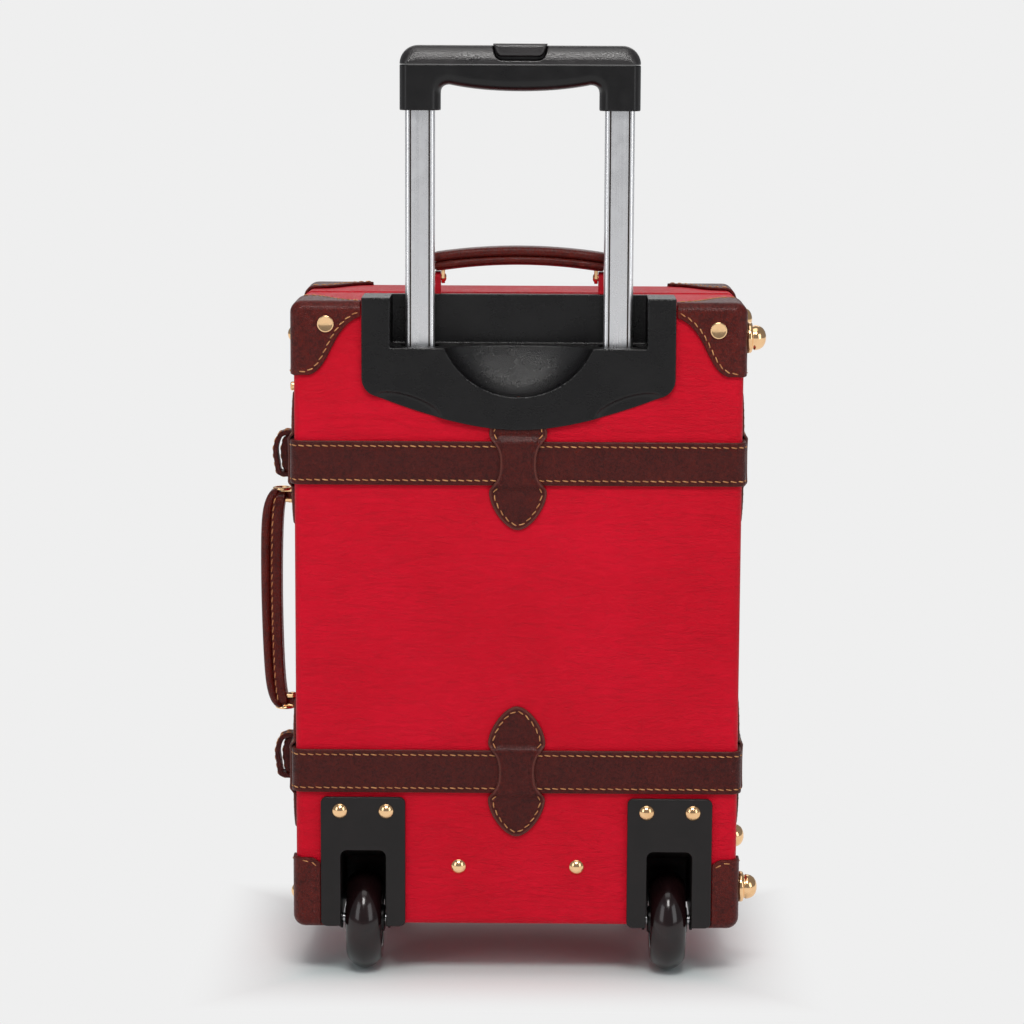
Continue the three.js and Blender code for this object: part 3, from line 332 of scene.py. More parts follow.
WARM = (1.0, 0.985, 0.965, 1)
COOL = (0.97, 0.985, 1.0, 1)
HEART = (0, 0, 0.34)
lamp("lamp_high", (0.0, -1.8, 2.4), HEART, 1.1, 0.7, 37, WARM)
lamp("lamp_above", (0.0, -0.3, 2.5), (0, 0, 0.3), 1.7, 1.4, 11, WARM)
lamp("lamp_left", (-1.9, -1.8, 1.2), HEART, 0.9, 1.7, 10, COOL)
lamp("lamp_right", (1.9, -1.7, 1.1), HEART, 0.9, 1.7, 10, COOL)
lamp("lamp_front", (0.0, 2.2, 1.6), HEART, 1.8, 1.4, 8, WARM)
# %% [markdown]
# ## Red leathercloth
#
# The case is wrapped in a coated cloth that imitates hide. It is a strong, slightly blue red with a
# low satin shine. Close up it has a fine pebble, and long faint creases that mostly run across the
# case, from being rolled and stretched while it was glued. The creases come from noise that is
# squeezed along Z. They bend the surface and the shine, and they carry painted light in the colour:
# painted shade in the creases and along the long folds, and a painted highlight on the crease ridges.

# %% Red leathercloth
def leathercloth(name, deep, bright, shine):
    """Coated cloth with a pebble grain, cross creases and a satin shine."""
    made, tree, shader = start_finish(name)
    where = spot(tree)
    bent = wavered(tree, where, 160, 3, 0.0022)
    pebble = cells(tree, bent, 640)
    creases = cloud(tree, spot(tree, (1, 1, 3.4)), 62, 9, 0.68, 1.6)
    long_creases = cloud(tree, spot(tree, (0.6, 0.6, 3.0)), 17, 5, 0.6, 2.4)
    patches = cloud(tree, where, 9, 4, 0.6)
    specks = cloud(tree, where, 900, 2)

    fold_line = calc(tree, "ABSOLUTE", calc(tree, "SUBTRACT", long_creases, 0.5), 0.0)
    fold = ramp(tree, fold_line, 0.0, 0.018)
    wear = ramp(tree, patches, 0.35, 0.7)
    colour = mix(tree, wear, paint(*deep), paint(*bright))
    colour = mix(tree, ramp(tree, pebble, 0.0, 0.07, 0.10, 0.0), colour, darker(deep, 0.72))
    # painted shade: the colour is darker along the long folds
    colour = mix(tree, ramp(tree, fold, 0.0, 1.0, 0.12, 0.0), colour, darker(deep, 0.8))
    # painted shade: darker in the low parts of the creases
    colour = mix(tree, ramp(tree, creases, 0.34, 0.62, 0.22, 0.0), colour, darker(deep, 0.86))
    # painted highlight: a lighter pink on the crease ridges
    colour = mix(tree, ramp(tree, creases, 0.5, 0.74, 0.0, 0.2), colour, paint(bright[0] + 16, 26, 52))
    fill(shader.inputs["Base Color"], colour, tree)

    roughness = ramp(tree, creases, 0.3, 0.7, shine - 0.05, shine + 0.09)
    fill(shader.inputs["Roughness"], roughness, tree)
    grain = relief(tree, ramp(tree, pebble, 0.0, 0.11), 0.00012, 0.6)
    grain = relief(tree, creases, 0.0019, 0.5, grain)
    grain = relief(tree, fold, 0.0004, 0.5, grain)
    grain = relief(tree, specks, 0.00005, 0.3, grain)
    fill(shader.inputs["Normal"], grain, tree)
    set_constants(shader, Specular_IOR_Level=0.14, Sheen_Weight=0.03, Sheen_Roughness=0.4)
    return made


red_cloth = leathercloth("red_leathercloth", (194, 0, 30), (205, 2, 36), 0.45)
red_tab_finish = leathercloth("red_tab", (176, 12, 30), (196, 18, 38), 0.42)
print("red finishes:", red_cloth.name, red_tab_finish.name)

# %% [markdown]
# ## Brown leather
#
# The corners, belts, patches and carry handles are a glazed brown hide. Its colour is never even:
# the dye gathers in the grain and is rubbed lighter on the high spots, so a cell pattern shapes both
# the colour and the relief. The cut edge is painted a little lighter. Pieces that are modelled here
# carry a value called `rim`, which is 1 at the cut edge, and the material reads it for that line.

# %% Brown leather
def leather(name, deep, middle, rubbed, shine, grain_scale=560):
    """Glazed hide: mottled dye, pebble grain, small creases, and a lighter cut edge."""
    made, tree, shader = start_finish(name)
    where = spot(tree)
    bent = wavered(tree, where, 210, 2, 0.0028)
    pebble = cells(tree, bent, grain_scale)
    fine = cells(tree, bent, grain_scale * 2.3)
    mottle = cloud(tree, where, 380, 5, 0.66, 0.8)
    patches = cloud(tree, where, 30, 3, 0.5)
    creases = cloud(tree, spot(tree, (1.6, 1, 1)), 150, 6, 0.7, 2.2)

    tone = calc(tree, "ADD", calc(tree, "MULTIPLY", mottle, 0.78), calc(tree, "MULTIPLY", patches, 0.22))
    colour = mix(tree, ramp(tree, tone, 0.36, 0.56), paint(*deep), paint(*middle))
    colour = mix(tree, ramp(tree, tone, 0.54, 0.72, 0.0, 0.75), colour, paint(*rubbed))
    colour = mix(tree, ramp(tree, pebble, 0.0, 0.10, 0.45, 0.0), colour, darker(deep, 0.6))
    rim = add(tree, "ShaderNodeAttribute", attribute_name="rim").outputs["Fac"]
    colour = mix(tree, ramp(tree, rim, 0.35, 0.9, 0.0, 0.6), colour, paint(104, 56, 48))
    fill(shader.inputs["Base Color"], colour, tree)

    fill(shader.inputs["Roughness"], ramp(tree, mottle, 0.3, 0.7, shine + 0.12, shine - 0.06), tree)
    grain = relief(tree, ramp(tree, pebble, 0.0, 0.15), 0.00024, 0.8)
    grain = relief(tree, ramp(tree, fine, 0.0, 0.2), 0.00004, 0.5, grain)
    grain = relief(tree, creases, 0.0006, 0.45, grain)
    fill(shader.inputs["Normal"], grain, tree)
    set_constants(shader, Specular_IOR_Level=0.2, Coat_Weight=0.04, Coat_Roughness=0.15)
    return made


corner_hide = leather("corner_leather", (58, 8, 4), (88, 19, 12), (118, 42, 32), 0.32)
belt_hide = leather("belt_leather", (50, 6, 3), (76, 15, 9), (104, 34, 24), 0.33)
handle_hide = leather("handle_leather", (62, 12, 8), (92, 25, 18), (124, 50, 40), 0.26)
# red hide for the strip that paints the red case's reflection under the top handle
strip_reflection_hide = leather("handle_lining_hide", (92, 8, 16), (128, 12, 24), (150, 22, 34), 0.4)
print("brown finishes:", corner_hide.name, belt_hide.name, handle_hide.name)

# %% [markdown]
# ## Thread
#
# The stitches are thick waxed thread in a straw colour. Each one is modelled as its own small
# bridge, so the material only adds the twist: a fine slanted wave over a mottled colour.

# %% Thread
def thread_finish():
    """Waxed straw-coloured thread with a fine twist."""
    made, tree, shader = start_finish("waxed_thread")
    twist = add(tree, "ShaderNodeTexWave", {
        "Vector": spot(tree, (1, 1, 1)), "Scale": 620, "Distortion": 1.2, "Detail": 1},
        bands_direction="DIAGONAL").outputs["Fac"]
    soil = cloud(tree, spot(tree), 160, 3)
    colour = mix(tree, ramp(tree, soil, 0.3, 0.7), paint(176, 112, 66), paint(219, 160, 104))
    colour = mix(tree, ramp(tree, twist, 0.2, 0.8, 0.25, 0.0), colour, paint(120, 66, 38))
    fill(shader.inputs["Base Color"], colour, tree)
    fill(shader.inputs["Normal"], relief(tree, twist, 0.00012, 0.7), tree)
    fill(shader.inputs["Roughness"], ramp(tree, soil, 0.3, 0.7, 0.5, 0.7), tree)
    set_constants(shader, Specular_IOR_Level=0.4)
    return made


thread = thread_finish()

# %% [markdown]
# ## Metals
#
# The studs, rings, zip pulls and side feet are brass with a thin clear lacquer; the telescopic tubes
# are drawn aluminium with long faint draw lines; axles and hinge pins are plain steel. A metal looks
# flat when its roughness is even, so each one gets smudges and hairlines in the roughness. A value
# called `groove` makes the metal darker at the bottom of the tubes' grooves.

# %% Metals
def metal(name, colour, dull, roughness, hairline_stretch, hairline_scale, hairline=0.25):
    """A metal with smudges and hairlines; the stretch sets which way the hairlines run."""
    made, tree, shader = start_finish(name)
    where = spot(tree)
    lines = cloud(tree, spot(tree, hairline_stretch), hairline_scale, 4, 0.6)
    smudge = cloud(tree, where, 75, 4, 0.6)
    tone = mix(tree, ramp(tree, smudge, 0.4, 0.75), paint(*colour), paint(*dull))
    groove = add(tree, "ShaderNodeAttribute", attribute_name="groove").outputs["Fac"]
    # the colour turns darker where `groove` marks the bottom of a tube's grooves
    fill(shader.inputs["Base Color"], mix(tree, groove, tone, paint(74, 66, 62)), tree)
    rough = calc(tree, "ADD", ramp(tree, smudge, 0.35, 0.75, roughness - 0.03, roughness + 0.07),
                 ramp(tree, lines, 0.35, 0.65, 0.0, 0.06))
    fill(shader.inputs["Roughness"], rough, tree)
    fill(shader.inputs["Normal"], relief(tree, lines, 0.00004, hairline), tree)
    set_constants(shader, Metallic=1.0)
    return made


brass = metal("gold_metal", (252, 208, 158), (238, 190, 138), 0.1, (1, 1, 1), 420, 0.12)
tube_metal = metal("aluminium_tube", (240, 240, 242), (234, 235, 237), 0.26, (1, 1, 0.004), 500, 0.0)
steel = metal("steel_fittings", (190, 190, 192), (160, 160, 163), 0.28, (0.05, 1, 1), 700, 0.3)
print("metals:", brass.name, tube_metal.name, steel.name)

# %% [markdown]
# ## Moulded plastics, rubber and cloth linings
#
# The handle plate and wheel housings come from a spark-eroded mould, which leaves an even, tiny
# pebble and a satin black. The grip's top shell and button are the same plastic with a finer, glossier
# grain. The tyre is a glossy, faintly see-through black-brown, so it gets a clear coat.

# %% Plastics, rubber and linings
def moulded_plastic(name, dark, light, roughness, grain_scale, grain_depth, coat=0.0, level=0.34):
    """Moulded plastic with a spark-eroded grain, faint flow marks and a few rubbed spots."""
    made, tree, shader = start_finish(name)
    where = spot(tree)
    grain = cells(tree, where, grain_scale, "F1")
    dust = cloud(tree, where, 38, 5, 0.65)
    scuffs = cloud(tree, spot(tree, (1, 1, 2.5)), 24, 7, 0.7, 1.2)
    colour = mix(tree, ramp(tree, dust, 0.35, 0.7), paint(*dark), paint(*light))
    fill(shader.inputs["Base Color"], colour, tree)
    worn = calc(tree, "ADD", ramp(tree, dust, 0.3, 0.7, roughness - 0.03, roughness + 0.05),
                ramp(tree, scuffs, 0.45, 0.8, 0.0, 0.04))
    fill(shader.inputs["Roughness"], worn, tree)
    surface = relief(tree, grain, grain_depth, 0.5)
    surface = relief(tree, scuffs, 0.00006, 0.04, surface)
    fill(shader.inputs["Normal"], surface, tree)
    set_constants(shader, Specular_IOR_Level=level, Coat_Weight=coat, Coat_Roughness=0.06)
    return made


def woven_cloth(name, first, second, thread_scale):
    """A plain weave: two crossed waves for the threads, with slubs in colour and height."""
    made, tree, shader = start_finish(name)
    where = spot(tree)
    rows = []
    for direction in ("X", "Z"):
        rows.append(add(tree, "ShaderNodeTexWave", {
            "Vector": where, "Scale": thread_scale, "Distortion": 0.6, "Detail": 1},
            bands_direction=direction).outputs["Fac"])
    weave = calc(tree, "MULTIPLY", rows[0], rows[1])
    slubs = cloud(tree, spot(tree, (1, 1, 0.2)), 300, 4)
    colour = mix(tree, ramp(tree, slubs, 0.3, 0.7), paint(*first), paint(*second))
    colour = mix(tree, ramp(tree, weave, 0.0, 0.6, 0.3, 0.0), colour, darker(first, 0.5))
    fill(shader.inputs["Base Color"], colour, tree)
    fill(shader.inputs["Roughness"], ramp(tree, slubs, 0.3, 0.7, 0.7, 0.9), tree)
    fill(shader.inputs["Normal"], relief(tree, weave, 0.00025, 0.6), tree)
    set_constants(shader, Specular_IOR_Level=0.25, Sheen_Weight=0.15)
    return made


plate_plastic = moulded_plastic("black_plastic", (5, 4, 5), (9, 8, 9), 0.27, 1300, 0.00040, level=0.36)
grip_plastic = moulded_plastic("grip_plastic", (14, 13, 14), (20, 19, 20), 0.3, 1700, 0.00006)
gloss_plastic = moulded_plastic("button_plastic", (18, 14, 15), (26, 21, 22), 0.3, 1100, 0.00034, level=0.75)
housing_plastic = moulded_plastic("housing_plastic", (16, 12, 12), (23, 18, 18), 0.42, 1800, 0.00008)
hub_plastic = moulded_plastic("hub_plastic", (13, 12, 13), (21, 19, 20), 0.3, 1500, 0.00005)
tyre_gloss = moulded_plastic("gloss_tyre", (18, 8, 9), (30, 12, 13), 0.16, 900, 0.000005, 0.35, 0.3)
foot_rubber = moulded_plastic("foot_rubber", (14, 14, 14), (24, 23, 23), 0.6, 900, 0.00012)
lining_cloth = woven_cloth("lining_cloth", (120, 88, 62), (150, 116, 84), 900)
zip_cloth = woven_cloth("zip_cloth", (70, 32, 26), (90, 44, 34), 1100)
print("plastics:", plate_plastic.name, grip_plastic.name, tyre_gloss.name)
# %% [markdown]
# ## Shaping tools
#
# Each rigid piece is built the way a pattern maker works: draw an outline with true arcs, give it
# depth, cut away what isn't there, then break the edges. `arc` and `curve` draw outlines, `loft`
# joins rings of points into a closed solid, and the `prism` functions give an outline depth along
# one axis. All of them take the case's millimetres.

# %% Outlines
def arc(x, y, radius, start, end, steps=10):
    """Points of an arc, with its angles in degrees."""
    return [
        (x + radius * math.cos(math.radians(start + (end - start) * i / steps)),
         y + radius * math.sin(math.radians(start + (end - start) * i / steps)))
        for i in range(steps + 1)
    ]


def curve(*points, steps=14):
    """Points of a smooth curve through its control points: three for a simple bend, four for an S."""
    degree = len(points) - 1
    run = []
    for i in range(steps + 1):
        t = i / steps
        weights = [math.comb(degree, k) * (1 - t) ** (degree - k) * t ** k for k in range(degree + 1)]
        run.append((sum(w * p[0] for w, p in zip(weights, points)),
                    sum(w * p[1] for w, p in zip(weights, points))))
    return run


def rounded(width, height, radius, x=0, y=0, steps=10):
    """A rectangle with round corners, anticlockwise."""
    across, tall = width / 2 - radius, height / 2 - radius
    points = []
    for sign_x, sign_y, start in ((1, 1, 0), (-1, 1, 90), (-1, -1, 180), (1, -1, 270)):
        points += arc(x + sign_x * across, y + sign_y * tall, radius, start, start + 90, steps)
    return points


def circle(x, y, radius, steps):
    """A full circle of points."""
    return arc(x, y, radius, 0, 360, steps)[:-1]


def tidy_loop(points, nearest=0.02):
    """Drops points that repeat the one before them, round a closed outline."""
    kept = []
    for point in points:
        if not kept or math.dist(point, kept[-1]) > nearest:
            kept.append(point)
    if math.dist(kept[0], kept[-1]) <= nearest:
        kept.pop()
    return kept


def area_sign(points):
    """Positive when a closed outline runs anticlockwise."""
    pairs = zip(points, points[1:] + points[:1])
    return sum(a[0] * b[1] - b[0] * a[1] for a, b in pairs)


def inset(points, amount):
    """Moves a closed anticlockwise outline inwards by an amount, corner by corner."""
    moved = []
    count = len(points)
    for i, point in enumerate(points):
        before, after = Vector(points[i - 1]), Vector(points[(i + 1) % count])
        here = Vector(point)
        first = (here - before).normalized()
        second = (after - here).normalized()
        normal = Vector((-(first.y + second.y), first.x + second.x))
        normal.normalize()
        stretch = max(normal.dot(Vector((-first.y, first.x))), 0.5)
        moved.append(tuple(here + normal * amount / stretch))
    return moved


# %% Solids
def to_object(name, points, faces):
    """A mesh object from points in the case's millimetres."""
    mesh = bpy.data.meshes.new(name)
    mesh.from_pydata([place(*p) for p in points], [], faces)
    mesh.validate()
    work = bmesh.new()
    work.from_mesh(mesh)
    bmesh.ops.recalc_face_normals(work, faces=work.faces)
    work.to_mesh(mesh)
    work.free()
    made = bpy.data.objects.new(name, mesh)
    scene.collection.objects.link(made)
    return made


def loft(name, rings, closed=False):
    """Joins rings that have the same number of points. Closed joins the last ring to the first."""
    count = len(rings[0])
    points = [p for ring in rings for p in ring]
    faces = []
    for i in range(len(rings) if closed else len(rings) - 1):
        low, high = i * count, (i + 1) % len(rings) * count
        for k in range(count):
            step = (k + 1) % count
            faces.append((low + k, low + step, high + step, high + k))
    if not closed:
        faces.append(tuple(range(count)))
        faces.append(tuple(range(len(points) - count, len(points))))
    return to_object(name, points, faces)


def swap_axes(points, axis, depth):
    """Places a flat outline across one axis: drawn in x,z for Y, in y,z for X and in x,y for Z."""
    if axis == "Y":
        return [(a, depth, b) for a, b in points]
    if axis == "X":
        return [(depth, a, b) for a, b in points]
    return [(a, b, depth) for a, b in points]


def prism(name, outline, axis, start, end):
    """An outline with plain depth along an axis."""
    outline = tidy_loop(outline)
    return loft(name, [swap_axes(outline, axis, start), swap_axes(outline, axis, end)])


def soft_prism(name, outline, axis, start, end, radius_start, radius_end, steps=5):
    """An outline with depth along an axis and round edges at its two ends."""
    outline = tidy_loop(outline)
    if area_sign(outline) < 0:
        outline.reverse()
    rings = []
    for i in range(steps + 1):
        angle = math.pi / 2 * i / steps
        ring = inset(outline, radius_start * (1 - math.sin(angle))) if radius_start else outline
        rings.append(swap_axes(ring, axis, start + radius_start * (1 - math.cos(angle))))
        if not radius_start:
            break
    for i in range(steps + 1):
        angle = math.pi / 2 * (1 - i / steps)
        ring = inset(outline, radius_end * (1 - math.sin(angle))) if radius_end else outline
        rings.append(swap_axes(ring, axis, end - radius_end * (1 - math.cos(angle))))
        if not radius_end:
            break
    return loft(name, rings)


def turned(name, profile, axis, centre, segments=64):
    """A turned solid: profile points are (radius, distance along the axis); the ends lie on the axis."""
    rings = []
    for i in range(segments):
        angle = 2 * math.pi * i / segments
        ring = []
        for radius, along in profile:
            flat = (radius * math.cos(angle), radius * math.sin(angle))
            point = {"X": (along, *flat), "Y": (flat[0], along, flat[1]), "Z": (*flat, along)}[axis]
            ring.append(tuple(c + p for c, p in zip(centre, point)))
        rings.append(ring)
    count = len(profile)
    points = [p for ring in rings for p in ring]
    faces = []
    for i in range(segments):
        low, high = i * count, (i + 1) % segments * count
        for k in range(count - 1):
            faces.append((low + k, low + k + 1, high + k + 1, high + k))
    made = to_object(name, points, faces)
    weld(made)
    return made


def weld(obj, distance=0.00001):
    """Joins points that lie on each other, as at the poles of a turned piece."""
    work = bmesh.new()
    work.from_mesh(obj.data)
    bmesh.ops.remove_doubles(work, verts=work.verts, dist=distance)
    bmesh.ops.recalc_face_normals(work, faces=work.faces)
    work.to_mesh(obj.data)
    work.free()


# %% [markdown]
# ## Cutting, softening and finishing
#
# `cut` and `keep` are booleans whose tools are thrown away afterwards. `soften` turns a piece into a
# fine skin of small faces and relaxes it, which rounds every edge and every inside corner by about a
# voxel or two, as a mould does. `finish` gives a piece its material, shades it smoothly except over
# real edges, hangs it on the body that carries it, and hides the CAD nodes it stands for.

# %% Cutting and finishing
def apply_modifiers(obj):
    """Turns what the modifiers show into the object's own mesh."""
    graph = bpy.context.evaluated_depsgraph_get()
    fixed = bpy.data.meshes.new_from_object(obj.evaluated_get(graph))
    old = obj.data
    obj.modifiers.clear()
    obj.data = fixed
    bpy.data.meshes.remove(old)
    return obj


def combine(obj, tools, operation):
    """Joins, cuts or keeps what an object shares with some tools, and removes the tools."""
    for tool in tools:
        step = obj.modifiers.new("step", "BOOLEAN")
        step.operation = operation
        step.solver = "MANIFOLD"
        step.object = tool
        bpy.context.view_layer.update()
        apply_modifiers(obj)
        bpy.data.meshes.remove(tool.data)
    return obj


def cut(obj, *tools):
    return combine(obj, tools, "DIFFERENCE")


def keep(obj, *tools):
    return combine(obj, tools, "INTERSECT")


def join(obj, *tools):
    return combine(obj, tools, "UNION")


def block(name, low, high):
    """A plain block to cut or build with."""
    outline = [(low[0], low[2]), (high[0], low[2]), (high[0], high[2]), (low[0], high[2])]
    return prism(name, outline, "Y", low[1], high[1])


def soften(obj, voxel=0.8, rounds=5, factor=0.5):
    """Skins a piece with voxels of a size in millimetres and relaxes the skin."""
    skin = obj.modifiers.new("skin", "REMESH")
    skin.mode = "VOXEL"
    skin.voxel_size = voxel * MM
    skin.adaptivity = 0
    relax = obj.modifiers.new("relax", "SMOOTH")
    relax.factor = factor
    relax.iterations = rounds
    return apply_modifiers(obj)


def break_edges(obj, width, segments=3, angle=30):
    """Rounds the real edges of a piece by a width in millimetres."""
    work = bmesh.new()
    work.from_mesh(obj.data)
    bmesh.ops.remove_doubles(work, verts=work.verts, dist=0.00002)
    bmesh.ops.dissolve_limit(work, angle_limit=math.radians(1), verts=work.verts, edges=work.edges)
    work.to_mesh(obj.data)
    work.free()
    bevel = obj.modifiers.new("broken_edges", "BEVEL")
    bevel.width = width * MM
    bevel.segments = segments
    bevel.limit_method = "ANGLE"
    bevel.angle_limit = math.radians(angle)
    bevel.harden_normals = False
    bevel.use_clamp_overlap = True
    return apply_modifiers(obj)


def finish(obj, material, body, slot, *nodes, sharp=35, weighted=True):
    """Gives a piece its material, shading and body, and hides the CAD nodes it stands for; slot is not used."""
    obj.data.materials.clear()
    obj.data.materials.append(material)
    obj.data.shade_smooth()
    obj.data.set_sharp_from_angle(angle=math.radians(sharp))
    if weighted:
        even = obj.modifiers.new("even_shading", "WEIGHTED_NORMAL")
        even.keep_sharp = True
    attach(obj, body)
    if nodes:
        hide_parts(*nodes)
    return obj


def mould(obj, voxel, rounds, material, body, slot, node):
    """Softens a carved piece as its mould would, and finishes it."""
    soften(obj, voxel, rounds)
    return finish(obj, material, body, slot, node, sharp=180, weighted=False)


def copy_node(node, name):
    """A copy of a CAD node's mesh as a new piece, to be given round edges."""
    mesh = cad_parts[node].data.copy()
    mesh.name = name
    made = bpy.data.objects.new(name, mesh)
    scene.collection.objects.link(made)
    weld(made, 0.00002)
    return made


print("tools ready")
# %% [markdown]
# ## The two shells
#
# The base and the lid are two shallow trays cut from one box, 7 mm round at the corners and 6 mm
# round along the edges. The CAD trays have coarse corners, so each is rebuilt from the same box with
# fine arcs: `soft_block` stacks rounded rectangles that shrink along a quarter circle at each face.
# Then the inside is cut out, and the base gets its room for the handle pocket and the wheel wells.

# %% Shells
pocket_low, pocket_high = measure("handle_plate")
housing_low, housing_high = measure("wheel_housing_left")
WHEEL_X = -(housing_low.x + housing_high.x) / 2
PLATE_HALF = (pocket_high.x - pocket_low.x) / 2
PLATE_TOP = pocket_high.z
PLATE_LOWEST = pocket_low.z
PLATE_FACE = pocket_low.y
POCKET_HALF = PLATE_HALF - 22.3
POCKET_WALL = 2.5
POCKET_BACK = 36
POCKET_FLOOR = TOP - 34
WELL_HALF = 18.3
WELL_WALL = 2.4
MOUTH_HEIGHT = 63.4
BOWL_RADIUS = 63.7
BOWL_DEPTH = 30
BOWL_WALL = 2.4
BOWL_CENTRE = TOP - 72.6 + BOWL_RADIUS


def soft_block(name, growth, start=None, end=None, steps=8):
    """The case's whole box, grown outwards by some millimetres, between two depths."""
    edge = max(EDGE_RADIUS + growth, 1)
    width, height = 2 * (SIDE + growth), TOP - BOTTOM + 2 * growth
    radius = CORNER_RADIUS + growth
    low, high = -growth, DEPTH + growth
    rings = []
    for i in range(steps + 1):
        angle = math.pi / 2 * i / steps
        shrink, depth = edge * (1 - math.sin(angle)), edge * (1 - math.cos(angle))
        rings.append((shrink, low + depth))
    rings += [(shrink, high - (depth - low)) for shrink, depth in reversed(rings)]
    loops = []
    for shrink, depth in rings:
        outline = rounded(width - 2 * shrink, height - 2 * shrink, radius - shrink, 0, CENTRE_Z, steps)
        loops.append(swap_axes(outline, "Y", depth))
    made = loft(name, loops)
    weld(made)
    if start is not None:
        keep(made, block("slice", (-FAR, start, -FAR), (FAR, end, FAR)))
    return made


def tray(name, start, end):
    """One half of the case as a hollow tray."""
    made = soft_block(name, 0)
    cut(made, soft_block("hollow", -WALL))
    keep(made, block("slice", (-FAR, start, -FAR), (FAR, end, FAR)))
    return made


def ball(name, centre, radii, across=96, tall=64):
    """A stretched ball from rings, to scoop or fill with."""
    profile = [(math.sin(math.pi * i / tall), -math.cos(math.pi * i / tall)) for i in range(tall + 1)]
    made = turned(name, profile, "Z", (0, 0, 0), across)
    made.data.transform(Matrix.Translation(-place(0, 0, 0)))
    made.data.transform(Matrix.Diagonal((*radii, 1)))
    made.data.transform(Matrix.Translation(place(*centre)))
    return made


def bowl_ball(name, growth=0.0):
    """The finger bowl's ball, grown by a wall or a gap."""
    wide = BOWL_RADIUS + growth
    return ball(name, (0, -4, BOWL_CENTRE), (wide, BOWL_DEPTH + growth, wide))


base = tray("base_shell_cloth", -FAR, BASE_EDGE)
room_half = POCKET_HALF + POCKET_WALL + FIT
cut(base, block("pocket_room", (-room_half, -FAR, POCKET_FLOOR - POCKET_WALL - FIT),
                (room_half, POCKET_BACK + POCKET_WALL + FIT, FAR)))
cut(base, bowl_ball("bowl_room", BOWL_WALL + FIT))
for side in (-1, 1):
    x = side * WHEEL_X
    half = WELL_HALF + WELL_WALL + 2.6
    mouth_top = BOTTOM + MOUTH_HEIGHT + WELL_WALL + 1
    cut(base, block("wheel_room", (x - half, -FAR, -FAR), (x + half, 78, mouth_top)))
finish(base, red_cloth, "case_base", "red_leathercloth", "base_shell")

lid = tray("lid_shell_cloth", LID_EDGE, FAR)
finish(lid, red_cloth, "lid", "red_leathercloth", "lid_shell")
print("shells:", len(base.data.polygons), len(lid.data.polygons), "faces")

# %% [markdown]
# ## Rolled edges of the two trays
#
# Where each tray meets the zip, the leathercloth is rolled over a thin cord and sewn down, so a
# narrow bead runs round both openings. Each bead is a small round section carried along the case's
# outline, just inside the shell's edge so that the overall size stays as it is.

# %% Beads at the opening
def outline_run(growth, steps=10, corner=CORNER_RADIUS):
    """The case's outline across its width and height, as points and outward directions."""
    radius = corner + growth
    outline = rounded(2 * (SIDE + growth), TOP - BOTTOM + 2 * growth, radius, 0, CENTRE_Z, steps)
    run = []
    for i, point in enumerate(outline):
        before, after = Vector(outline[i - 1]), Vector(outline[(i + 1) % len(outline)])
        along = (after - before).normalized()
        run.append((Vector(point), Vector((along.y, -along.x))))
    return run


BEAD_RADIUS = 1.7
BEAD_SINK = 1.3
BEAD_PROUD = 0.4


def bead(name, depth, body):
    """A round cord that follows the case's outline at one depth."""
    rings = []
    for point, outward in outline_run(-BEAD_SINK):
        rings.append([(point.x + outward.x * a, depth + b, point.y + outward.y * a)
                      for a, b in circle(0, 0, BEAD_RADIUS, 10)])
    made = loft(name, rings, closed=True)
    return finish(made, red_cloth, body, "red_leathercloth", sharp=80, weighted=False)


bead("base_edge_bead", BASE_EDGE - BEAD_RADIUS + BEAD_PROUD, "case_base")
bead("lid_edge_bead", LID_EDGE + BEAD_RADIUS - BEAD_PROUD, "lid")
print("beads at", round(BASE_EDGE, 1), "and", round(LID_EDGE, 1), "mm")

# %% [markdown]
# ## Stitches
#
# A row of stitches is what makes leather read as leather. Each stitch is a little bridge of thread:
# five rings of a thin tube that start under the surface, rise, and go back in. `stitch_row` walks
# along a line at an even pitch, so that it works on any straight, curved or folded edge.

# %% Stitches
STITCH_PITCH = 6.3
STITCH_LENGTH = 5.0
STITCH_LEAN = 0.8
THREAD_RADIUS = 0.46


def walk(points, closed=False):
    """Lengths along a line of points, and the line itself, closed if asked."""
    line = list(points) + ([points[0]] if closed else [])
    lengths = [0.0]
    for a, b in zip(line, line[1:]):
        lengths.append(lengths[-1] + (b - a).length)
    return line, lengths


def along(line, lengths, distance):
    """The point at a distance along a line, and the number of the stretch it is on."""
    for i in range(len(line) - 1):
        if lengths[i + 1] >= distance or i == len(line) - 2:
            span = max(lengths[i + 1] - lengths[i], 1e-9)
            share = min(max((distance - lengths[i]) / span, 0.0), 1.0)
            return line[i].lerp(line[i + 1], share), i, share
    raise ValueError("the distance is off the line")


